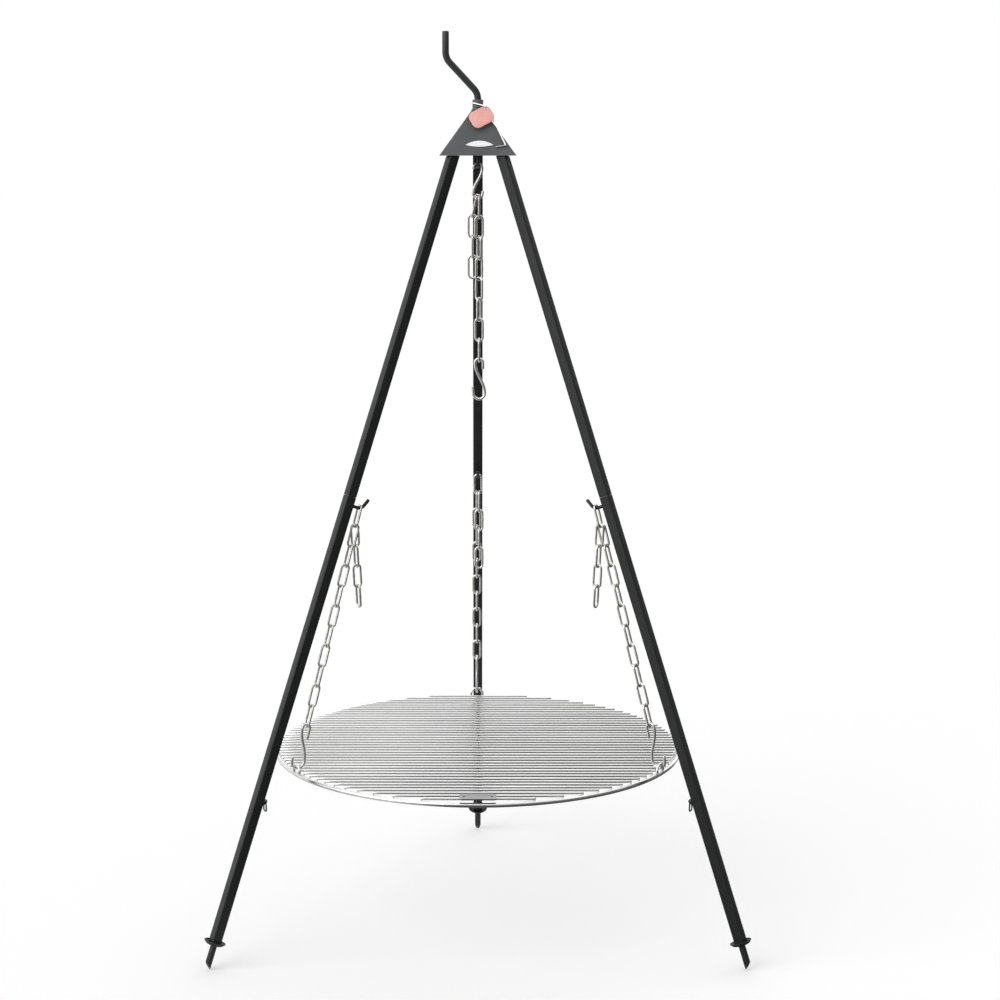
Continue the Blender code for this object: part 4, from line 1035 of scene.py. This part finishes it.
@dataclass
class Leg:
    """One leg: two square tubes, the rod hook, the ring and the foot."""

    shop: Workshop
    cap: Cap
    side: Side
    lean: float = math.radians(19.5)
    top_radius: float = 0.0424
    below_rim: float = 0.001
    rim_gap: float = 0.0004
    size: float = 0.015
    wall: float = 0.0015
    corner: float = 0.0016
    upper_length: float = 0.523
    lower_length: float = 0.685
    gap: float = 0.0003
    peg_diameter: float = 0.010
    peg_length: float = 0.039
    peg_inside: float = 0.030
    peg_cut: float = math.radians(45.0)
    disc_diameter: float = 0.0325
    disc_thickness: float = 0.002
    disc_dish: float = 0.0035
    hook_wire: float = 0.005
    hook_below_joint: float = 0.013
    hook_shank: float = 0.0105
    hook_radius: float = 0.0095
    hook_turn: float = math.radians(65.0)
    hook_tip: float = 0.012
    ring_wire: float = 0.0022
    ring_width: float = 0.011
    ring_height: float = 0.015
    ease: float = 0.0003            # ease of the tubes' ends
    inner_corner: float = 0.0005
    hook_nose: float = 0.0016       # rounding of the hook's tip
    weld_width: float = 0.0016
    weld_height: float = 0.0024
    peg_taper: float = 0.94         # width of the cut end

    @property
    def matrix(self) -> Matrix:
        """Frame at the leg's top: Z runs up the leg and X outward."""
        top = self.cap.rim - self.below_rim
        return self.side.matrix @ shift(x=self.top_radius, z=top) @ tilted(self.lean)

    @property
    def foot(self) -> float:
        """Height of the lower tube's end in the leg's frame."""
        return -self.upper_length - self.gap - self.lower_length

    def build(self) -> None:
        """Build the leg's pieces and dress the hidden ones."""
        label = self.side.label
        self.build_tube(f"upper_leg_{label}", f"upper_tube_{label}", -self.upper_length, 0.0, level_top=True)
        self.build_tube(f"lower_leg_{label}", f"lower_tube_{label}", self.foot, -self.upper_length - self.gap)
        self.build_hook()
        self.build_foot()
        self.build_ring()
        self.shop.repaint("spigot", f"spigot_{label}")
        self.shop.repaint("painted_cap", f"leg_stub_{label}")
        self.shop.repaint("leg_fitting", f"ring_lug_{label}")

    def build_tube(self, name: str, node: str, low: float, high: float, level_top: bool = False) -> None:
        """Square tube: a rounded square at each height, with its ends eased inside and out.

        A level top lies at (gap - x sin lean) / cos lean along the leg, with x across it.

        Args:
            name: Name of the piece.
            node: Node that it replaces.
            low: Height of its lower end in the leg's frame.
            high: Height of its upper end.
            level_top: Whether its top is cut level, close under the cap's rim.
        """
        ease = self.ease
        outside = (self.size, self.corner)
        inside = (self.size - 2.0 * self.wall, self.inner_corner)
        eased = (self.size - 2 * ease, self.corner - ease)
        stages = [(*eased, low), (*outside, low + ease), (*outside, high - ease), (*eased, high),
                  (*inside, high), (*inside, low)]
        wall = np.stack([np.insert(rounded_square(width, corner), 2, height, axis=1)
                         for width, corner, height in stages])
        if level_top:
            level = self.below_rim - self.rim_gap - wall[2:5, :, 0] * math.sin(self.lean)
            wall[2:5, :, 2] += level / math.cos(self.lean)
        tube = Shape()
        tube.grid(carried(wall, self.matrix), ring=True)
        self.shop.show(tube, name, "frame", "leg_paint", node, 30.0)

    def build_hook(self) -> None:
        """Rod hook: a straight shank, an arc and a straight tip, with its weld on the tube."""
        base = -self.upper_length - self.gap - self.hook_below_joint
        start = -0.5 * self.size - self.gap
        bend = start - self.hook_shank
        turn = math.degrees(self.hook_turn)
        curve = arc((bend, base + self.hook_radius), self.hook_radius, 270.0, 270.0 - turn, 16)
        end = curve[-1] + self.hook_tip * np.array([-math.cos(self.hook_turn), math.sin(self.hook_turn)])
        flat = np.concatenate([[(start, base)], between(np.array([start, base]), curve[0], 5), curve, [end]])
        path, radii = nosed(in_plane(flat, 0, 2), 0.5 * self.hook_wire, self.hook_nose)
        hook = Shape()
        hook.wire(carried(path, self.matrix), radii, 18, tuple(self.matrix.col[1][:3]))
        weld = arc((0.0, 0.0), 1.0, 90.0, 0.0, 6)
        profile = np.stack([0.5 * self.hook_wire * 0.9 + self.weld_width * weld[:, 0],
                            self.weld_height * weld[:, 1]], axis=-1)
        place = self.matrix @ shift(x=start + HAIR, z=base) @ Matrix.Rotation(-QUARTER_TURN, 4, "Y")
        hook.turned(profile, 24, place, ring=False)
        label = self.side.label
        self.shop.show(hook, f"chain_hook_{label}", "frame", "leg_fitting", f"leg_hook_{label}", 50.0)

    def build_foot(self) -> None:
        """Dished disc under the lower tube, and the peg through it.

        The peg is a round bar from its top to a plane that cuts it aslant: tip = -length + (x + r) tan cut.
        """
        label, end = self.side.label, self.foot
        inside, rim = 0.5 * self.peg_diameter + self.gap, 0.5 * self.disc_diameter
        thick, dish = self.disc_thickness, self.disc_dish
        flat = 0.5 * self.size * math.sqrt(2.0) - self.gap
        under = smooth_curve(np.array([(inside, -self.gap - thick), (flat, -self.gap - thick),
                                       (0.5 * (flat + rim), 0.35 * dish - thick),
                                       (rim - 0.001, dish - thick)]), 4)
        lip = arc((rim - 0.5 * thick, dish - 0.5 * thick), 0.5 * thick, -60.0, 90.0, 6)
        over = smooth_curve(np.array([(rim - 0.001, dish), (0.5 * (flat + rim), 0.4 * dish),
                                      (flat, -self.gap), (inside, -self.gap)]), 4)
        disc = Shape()
        disc.turned(np.concatenate([under, lip, over[1:]]), 48, self.matrix @ shift(z=end))
        self.shop.show(disc, f"foot_plate_{label}", "frame", "leg_paint", f"foot_disc_{label}", 50.0)

        radius = 0.5 * self.peg_diameter
        angles = np.linspace(0.0, FULL_TURN, 40, endpoint=False)
        x = radius * np.cos(angles)
        tip = -self.peg_length + (x + radius) * math.tan(self.peg_cut)
        share = np.concatenate([[0.0], np.linspace(0.2, 0.97, 6), [1.0]])[:, None]
        width = np.append(np.ones(len(share) - 1), self.peg_taper)[:, None]
        height = self.peg_inside + share * (tip - self.peg_inside)
        points = np.stack([width * x, width * radius * np.sin(angles), height], axis=-1)
        peg = Shape()
        peg.grid(carried(points, self.matrix @ shift(z=end)), capped=True)
        self.shop.show(peg, f"ground_peg_{label}", "frame", "peg", f"foot_peg_{label}", 40.0)

    def build_ring(self) -> None:
        """Wire ring that hangs in the lug: a closed smooth curve through eight points, wider below."""
        wide, tall = 0.5 * (self.ring_width - self.ring_wire), self.ring_height - self.ring_wire
        right = np.array([(0.62 * wide, -0.02 * tall), (wide, -0.75 * tall), (0.8 * wide, -tall)])
        loop = np.concatenate([[(0.0, 0.0)], right, [(0.0, -1.06 * tall)], (right * (-1, 1))[::-1]])
        label = self.side.label
        place = Matrix.Translation(joint_place(f"ring_swing_{label}")) @ self.side.matrix
        path = carried(in_plane(smooth_curve(loop, 7, closed=True), 1, 2), place)
        ring = Shape()
        ring.wire(path, 0.5 * self.ring_wire, 12, tuple(self.side.matrix.col[0][:3]), closed=True)
        self.shop.show(ring, f"wire_ring_{label}", f"ring_{label}", "leg_fitting", f"leg_ring_{label}", 40.0)


@dataclass
class PotChain:
    """S-hook in the rod's foot, the pot chain, the spare links beside it and the pot hook."""

    shop: Workshop
    chain: Chain = field(default_factory=Chain)
    links: int = 8
    twist: float = math.radians(90.0)
    tail_links: int = 3
    tail_rise: float = 0.0007
    tail_aside: float = math.radians(12.0)
    tail_back: float = math.radians(8.0)
    run_back: float = math.radians(3.0)
    top_hook: SHook = field(default_factory=lambda: SHook(0.047, 0.0064, 0.0070, 0.002, 0.004))
    pot_hook: SHook = field(default_factory=lambda: SHook(0.057, 0.0060, 0.0088, 0.010, 0.011, mirrored=True))

    def build(self) -> None:
        """Build the four pieces that hang under the cap."""
        half = 0.5 * self.top_hook.wire
        seat = joint_place("top_hook_swing").z - half
        top = Shape()
        self.top_hook.add(top, shift(z=seat))
        self.shop.show(top, "rod_s_hook", "top_s_hook", "s_hook", "top_s_hook")

        pot_place = joint_place("pot_hook_swing")
        inside = pot_place.z + 0.5 * self.chain.wire
        first = inside + self.links * self.chain.pitch - self.chain.fuse
        main = Shape()
        self.chain.run(main, self.links, shift(x=self.chain.beside, z=first), 0.0,
                       self.twist / (self.links - 1))
        self.shop.show(main, "pot_chain_links", "pot_chain", "chain", "centre_chain")

        lean = Matrix.Rotation(self.tail_aside, 4, "Y") @ Matrix.Rotation(self.tail_back, 4, "X")
        stand = shift(x=-self.chain.beside, z=first + self.tail_rise) @ lean
        spot = stand @ Vector((0.0, 0.0, -self.chain.pitch))
        spare = Shape()
        self.chain.run(spare, 1, stand, 0.0, length=self.chain.pitch)
        below = Matrix.Translation(spot) @ Matrix.Rotation(self.run_back, 4, "X")
        self.chain.run(spare, self.tail_links, below, QUARTER_TURN)
        self.shop.show(spare, "spare_links", "spare_chain", "chain", "centre_chain_tail")

        hook = Shape()
        self.pot_hook.add(hook, shift(x=pot_place.x, z=inside + 2.0 * HAIR))
        self.shop.show(hook, "pot_s_hook", "pot_hook", "s_hook", "pot_hook")


@dataclass
class Hanger:
    """Chain on one leg hook: the hooked link, the strand with its S-hook, and the free end."""

    shop: Workshop
    side: Side
    chain: Chain = field(default_factory=Chain)
    links: int = 10
    tail_links: int = 4
    tail_lean: float = math.radians(3.0)
    leg_hook_wire: float = 0.005
    gap: float = 0.0003
    hook: SHook = field(default_factory=lambda: SHook(0.063, 0.0060, 0.0100, 0.016, 0.007))

    def build(self) -> None:
        """Build the strand, its hook and the free end."""
        label = self.side.label
        strand_body = f"hanger_{label}"
        pivot = self.side.matrix.inverted() @ joint_place(f"hanger_swing_{label}")
        seat = pivot + Vector((0.0, 0.0, 0.5 * self.leg_hook_wire))
        low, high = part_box("grate_eye_back")
        eye = Vector((0.5 * (low.y + high.y), 0.0, joint_place("grate_turn").z))
        lean = math.atan2(eye.x - seat.x, seat.z - eye.z)
        hang = self.side.matrix @ Matrix.Translation(seat) @ tilted(lean)
        whole = (eye - seat).length
        inside = self.chain.pitch - self.chain.fuse

        first = Shape()
        self.chain.run(first, 1, hang, 0.0, top=HAIR, length=inside)
        self.shop.show(first, f"top_link_{label}", strand_body, "chain", f"hooked_link_{label}")

        start = HAIR - inside + self.chain.shared_rise
        last = self.hook.length - whole - HAIR
        strand = Shape()
        self.chain.run(strand, self.links, hang @ shift(y=self.chain.beside), QUARTER_TURN, top=start,
                       length=start - last)
        self.shop.show(strand, f"strand_links_{label}", strand_body, "chain", f"side_chain_{label}")

        hook = Shape()
        self.hook.add(hook, hang @ shift(y=self.chain.beside, z=self.hook.length - whole))
        self.shop.show(hook, f"grate_hook_{label}", strand_body, "s_hook", f"grate_s_hook_{label}")

        bend = hang @ Vector((0.0, 0.0, HAIR - inside))
        free = Shape()
        place = Matrix.Translation(bend) @ self.side.matrix @ tilted(-self.tail_lean)
        self.chain.run(free, self.tail_links, place @ shift(y=-self.chain.beside), QUARTER_TURN,
                       top=self.chain.shared_rise + HAIR)
        self.shop.show(free, f"free_links_{label}", f"tail_{label}", "chain", f"chain_tail_{label}")


@dataclass
class Grate:
    """Round grate: rim, bars on a cross bar, three eyes and a bare plate."""

    shop: Workshop
    rim_wire: float = 0.007
    bar_wire: float = 0.004
    bar_pitch: float = 0.0144
    bar_count: int = 42
    cross_wire: float = 0.005
    over_rim: float = 0.0015
    eye_wire: float = 0.004
    eye_height: float = 0.010
    eye_foot: float = 0.019
    eye_top: float = 0.0115
    eye_aside: float = 0.00175
    pivot_gap: float = 0.0009
    wave: float = 0.0003
    bar_sides: int = 10
    cross_sides: int = 12
    rim_sides: int = 18
    eye_sides: int = 14
    seam_swell: float = 0.05        # share by which the rim is thicker at its weld
    seam_place: float = 1.9         # angle of the rim's weld, in radians
    seam_width: float = 0.012       # radians
    cross_sink: float = 0.0007      # how deep the bars' welds sink into the cross bar
    bar_bead: tuple[float, float, float] = (0.0016, 0.0019, 0.0011)
    eye_bead: tuple[float, float, float] = (0.0027, 0.0027, 0.0012)

    @property
    def radius(self) -> float:
        """Radius of the rim, on the wire's centre."""
        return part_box("grate_rim")[1].x - 0.5 * self.rim_wire

    @property
    def rim_top(self) -> float:
        """Height of the rim's top."""
        return joint_place("grate_turn").z + self.pivot_gap - self.eye_height

    def build(self) -> None:
        """Build the rim, the bars and the eyes, and dress the plate.

        The rim is a circle of wire that swells by a bell curve where it is welded.
        """
        rim = Shape()
        turns = np.linspace(0.0, FULL_TURN, 240, endpoint=False)
        level = np.full_like(turns, self.rim_top - 0.5 * self.rim_wire)
        path = np.stack([self.radius * np.cos(turns), self.radius * np.sin(turns), level], axis=-1)
        seam = 1.0 + self.seam_swell * np.exp(-((turns - self.seam_place) / self.seam_width) ** 2)
        rim.wire(path, 0.5 * self.rim_wire * seam, self.rim_sides, UP, closed=True)
        self.shop.show(rim, "rim_ring", "grate", "grate_wire", "grate_rim")
        self.build_bars()
        for side in Side:
            self.build_eye(side)
        self.shop.repaint("grate_plate", "grate_plate")

    def build_bars(self) -> None:
        """Parallel bars that end on the rim, each with a slight wave and two weld beads, and the cross bar.

        A bar lies along the chord of the rim at its own y, and strays from it by a sine of `wave` that
        fades out towards the bar's ends.
        """
        bars, under = Shape(), Shape()
        reach = self.radius - 0.5 * self.rim_wire + self.over_rim
        level = self.rim_top + 0.5 * self.bar_wire + HAIR
        along = np.linspace(-1.0, 1.0, 25)
        heights = (np.arange(self.bar_count) - 0.5 * (self.bar_count - 1)) * self.bar_pitch
        for index, y in enumerate(heights):
            half = math.sqrt(reach ** 2 - y ** 2)
            phase = 2.4 * index
            ease = (1.0 - along ** 4) * self.wave
            path = np.stack([half * along, y + ease * np.sin(3.0 * along + phase),
                             level + 0.4 * ease * np.sin(4.0 * along + 1.7 * phase)], axis=-1)
            rounded, radii = nosed(path, 0.5 * self.bar_wire, 0.0012, 4)
            bars.wire(rounded, radii, self.bar_sides, UP)
            for sign in (-1.0, 1.0):
                seat = np.array([sign * (half - self.over_rim), y, level - 0.5 * self.bar_wire - 0.0002])
                bars.bead(seat, np.array(self.bar_bead))
        cross = level - 0.5 * (self.bar_wire + self.cross_wire) + self.cross_sink
        inner = self.radius - 0.5 * self.rim_wire - HAIR
        ends = np.array([(0.0, -inner, cross), (0.0, inner, cross)])
        rod = np.concatenate([ends[:1], between(ends[0], ends[1], 24), ends[1:]])
        rounded, radii = nosed(rod, 0.5 * self.cross_wire, 0.0006)
        under.wire(rounded, radii, self.cross_sides, UP)
        self.shop.show(bars, "grate_rods", "grate", "grate_wire", "grate_bars")
        # The cross bar takes the darker finish, whose dark tone is painted shade from the bars above it
        self.shop.show(under, "cross_rod", "grate", "grate_wire", "grate_bars", finish="cross_wire")

    def build_eye(self, side: Side) -> None:
        """Eye of bent wire on the rim: two feet, two shoulders and a straight top on a smooth curve.

        Args:
            side: Where on the rim it stands.
        """
        foot, top, low = 0.5 * self.eye_foot, 0.5 * self.eye_top, self.rim_top - 0.0006
        bar = self.rim_top + self.eye_height + 0.5 * self.eye_wire
        half = np.array([(foot, low), (foot, self.rim_top + 0.0028), (0.97 * foot, self.rim_top + 0.0055),
                         (1.05 * top, bar - 0.0022), (0.80 * top, bar - 0.0003), (0.4 * top, bar)])
        flat = np.concatenate([half * (-1, 1), half[::-1]])
        curve = in_plane(smooth_curve(flat, 5), 1, 2)
        low_eye, high_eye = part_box("grate_eye_back")
        place = side.matrix @ shift(x=0.5 * (low_eye.y + high_eye.y), y=self.eye_aside)
        eye = Shape()
        eye.wire(carried(curve, place), 0.5 * self.eye_wire, self.eye_sides, tuple(side.matrix.col[0][:3]))
        for sign in (-1.0, 1.0):
            spot = place @ Vector((0.0, sign * foot, self.rim_top - 0.0002))
            eye.bead(np.array(spot), np.array(self.eye_bead))
        label = side.label
        self.shop.show(eye, f"rim_eye_{label}", "grate", "grate_wire", f"grate_eye_{label}")


def build_room_group() -> bpy.types.NodeTree:
    """Group that puts out how bright the studio looks from the tripod, for a direction.

    Each part of the room takes over smoothly from the one before: the front, the lit left, the darker
    right, the white background and the softbox overhead.

    Returns:
        The group's tree.
    """
    tree = group_tree("room_light", {"Direction": ("NodeSocketVector", (0.0, 0.0, 0.0)),
                                     "Front": ("NodeSocketFloat", 0.4), "Left": ("NodeSocketFloat", 1.05),
                                     "Right": ("NodeSocketFloat", 0.18), "Behind": ("NodeSocketFloat", 1.0),
                                     "Above": ("NodeSocketFloat", 1.1)}, {"Strength": "NodeSocketFloat"})
    nodes = Nodes(tree)
    given, result = nodes.add("NodeGroupInput"), nodes.add("NodeGroupOutput")
    split = nodes.add("ShaderNodeSeparateXYZ")
    nodes.join((given, "Direction", split, "Vector"))
    strength: tuple[bpy.types.Node, str | int] = (given, "Front")
    for part, axis, none_at, full_at in (("Left", "X", -0.2, -0.7), ("Right", "X", 0.2, 0.7),
                                         ("Behind", "Y", 0.6, 0.92), ("Above", "Z", 0.35, 0.75)):
        reach = nodes.add("ShaderNodeMapRange", interpolation_type="SMOOTHSTEP", _From_Min=none_at,
                          _From_Max=full_at)
        mix = nodes.add("ShaderNodeMix", data_type="FLOAT")
        nodes.join((split, axis, reach, "Value"), (reach, "Result", mix, "Factor"),
                   (*strength, mix, FLOAT_A), (given, part, mix, FLOAT_B))
        strength = (mix, FLOAT_OUT)
    nodes.join((*strength, result, "Strength"))
    return tree


@dataclass
class Studio:
    """Floor, light and camera of the photograph."""

    camera_y: float = -3.379
    camera_z: float = 1.2093
    pitch_down: float = math.radians(9.22)
    lens: float = 81.1
    axis_pixel: float = 477.84
    floor_colour: float = 0.86
    floor_glow: float = 0.20
    room_fill: float = 0.55
    dark_centre: tuple[float, float, float] = (-0.4, -1.2, 0.0)
    dark_reach: float = 1.0
    bright_reach: float = 3.0
    dark_share: float = 0.65
    floor_front: float = 0.14
    floor_left: float = 1.05
    floor_half: float = 40.0
    floor_gap: float = 0.0005
    aim_height: float = 0.65

    def build(self) -> None:
        """Set up the studio."""
        bpy.context.scene.view_settings.view_transform = "Standard"
        room = build_room_group()
        self.build_camera()
        self.build_floor(room)
        self.build_world(room)
        self.add_sun("key_light", (-2.6, -2.0, 2.6), 1.6, 60.0)
        self.add_sun("back_light", (0.8, 2.6, 3.0), 0.6, 70.0)

    def build_camera(self) -> None:
        """Camera at the photograph's height, pitch and small sideways shift."""
        data = bpy.data.cameras.new("photo_camera")
        data.lens = self.lens
        data.sensor_width = 36.0
        data.shift_x = (0.5 * PHOTO_SIDE - self.axis_pixel) / PHOTO_SIDE
        camera = bpy.data.objects.new("photo_camera", data)
        camera.location = (0.0, self.camera_y, self.camera_z)
        camera.rotation_euler = (0.5 * math.pi - self.pitch_down, 0.0, 0.0)
        bpy.context.scene.collection.objects.link(camera)
        bpy.context.scene.camera = camera

    def build_floor(self, room: bpy.types.NodeTree) -> None:
        """White floor that keeps the shadow, glows a little for the camera and mirrors as the room does.

        What polished metal mirrors of it is dim near a spot in front, where the studio is unlit.

        Args:
            room: Group of the room's brightness by direction.
        """
        half = self.floor_half
        mesh = bpy.data.meshes.new("floor")
        mesh.from_pydata([(-half, -half, 0.0), (half, -half, 0.0), (half, half, 0.0), (-half, half, 0.0)], [],
                         [(0, 1, 2, 3)])
        floor = bpy.data.objects.new("floor", mesh)
        floor.location = (0.0, 0.0, -self.floor_gap)
        bpy.context.scene.collection.objects.link(floor)
        material = bpy.data.materials.new("white_floor")
        material.use_nodes = True
        nodes = Nodes(material.node_tree)
        shader = material.node_tree.nodes["Principled BSDF"]
        shader.inputs["Roughness"].default_value = 0.9
        shader.inputs["Specular IOR Level"].default_value = 0.0
        shader.inputs["Emission Color"].default_value = WHITE
        rays = nodes.add("ShaderNodeLightPath")
        colour = nodes.add("ShaderNodeMix", data_type="RGBA")
        colour.inputs[COLOR_A].default_value = (self.floor_colour, self.floor_colour, self.floor_colour, 1.0)
        colour.inputs[COLOR_B].default_value = (0.0, 0.0, 0.0, 1.0)
        place = nodes.add("ShaderNodeTexCoord")
        direction = nodes.add("ShaderNodeVectorMath", operation="NORMALIZE")
        around = nodes.add("ShaderNodeGroup", node_tree=room, _Front=self.floor_front, _Left=self.floor_left)
        reach = nodes.add("ShaderNodeVectorMath", operation="DISTANCE")
        reach.inputs[1].default_value = self.dark_centre
        dim = nodes.add("ShaderNodeMapRange", interpolation_type="SMOOTHSTEP", _From_Min=self.dark_reach,
                        _From_Max=self.bright_reach, _To_Min=self.dark_share, _To_Max=1.0)
        dimmed = nodes.add("ShaderNodeMath", operation="MULTIPLY")
        glow = nodes.add("ShaderNodeMath", operation="MULTIPLY")
        glow.inputs[1].default_value = self.floor_glow
        mirrored = nodes.add("ShaderNodeMath", operation="MULTIPLY_ADD")
        nodes.join((rays, "Is Glossy Ray", colour, "Factor"), (colour, COLOR_OUT, shader, "Base Color"),
                   (place, "Object", direction, 0), (direction, "Vector", around, "Direction"),
                   (place, "Object", reach, 0), (reach, "Value", dim, "Value"),
                   (around, "Strength", dimmed, 0), (dim, "Result", dimmed, 1),
                   (rays, "Is Camera Ray", glow, 0), (rays, "Is Glossy Ray", mirrored, 0),
                   (dimmed, "Value", mirrored, 1), (glow, "Value", mirrored, 2),
                   (mirrored, "Value", shader, "Emission Strength"))
        mesh.materials.append(material)

    def build_world(self, room: bpy.types.NodeTree) -> None:
        """White for the camera, the room for reflections and an even fill for the rest.

        Args:
            room: Group of the room's brightness by direction.
        """
        world = bpy.data.worlds.new("studio")
        bpy.context.scene.world = world
        world.use_nodes = True
        nodes = Nodes(world.node_tree)
        background = world.node_tree.nodes["Background"]
        background.inputs["Color"].default_value = WHITE
        place = nodes.add("ShaderNodeTexCoord")
        around = nodes.add("ShaderNodeGroup", node_tree=room)
        rays = nodes.add("ShaderNodeLightPath")
        mirrored = nodes.add("ShaderNodeMix", data_type="FLOAT")
        mirrored.inputs[FLOAT_A].default_value = self.room_fill
        shown = nodes.add("ShaderNodeMix", data_type="FLOAT")
        shown.inputs[FLOAT_B].default_value = 1.0
        nodes.join((place, "Generated", around, "Direction"), (rays, "Is Glossy Ray", mirrored, "Factor"),
                   (around, "Strength", mirrored, FLOAT_B), (rays, "Is Camera Ray", shown, "Factor"),
                   (mirrored, FLOAT_OUT, shown, FLOAT_A), (shown, FLOAT_OUT, background, "Strength"))

    def add_sun(self, name: str, place: tuple[float, float, float], power: float, spread: float) -> None:
        """Add a soft far lamp that shines from a place towards the middle of the tripod.

        Args:
            name: Name of the lamp.
            place: Place that its light comes from, in metres.
            power: Power in watts for each square metre.
            spread: Angle in degrees that it covers, seen from the tripod.
        """
        data = bpy.data.lights.new(name, "SUN")
        data.energy = power
        data.angle = math.radians(spread)
        lamp = bpy.data.objects.new(name, data)
        lamp.location = place
        towards = Vector((0.0, 0.0, self.aim_height)) - Vector(place)
        lamp.rotation_euler = towards.to_track_quat("-Z", "Y").to_euler()
        bpy.context.scene.collection.objects.link(lamp)


def main() -> None:
    """Build every piece in order, then the studio."""
    logging.basicConfig(level=logging.INFO, format="%(name)s %(message)s")
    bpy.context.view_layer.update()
    shop = Workshop()
    cap = Cap(shop)
    cap.build()
    TurningRod(shop, cap).build()
    Tag(shop, cap).build()
    for side in Side:
        Leg(shop, cap, side).build()
    PotChain(shop).build()
    for side in Side:
        Hanger(shop, side).build()
    Grate(shop).build()
    Studio().build()
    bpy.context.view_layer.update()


if __name__ == "__main__":
    main()
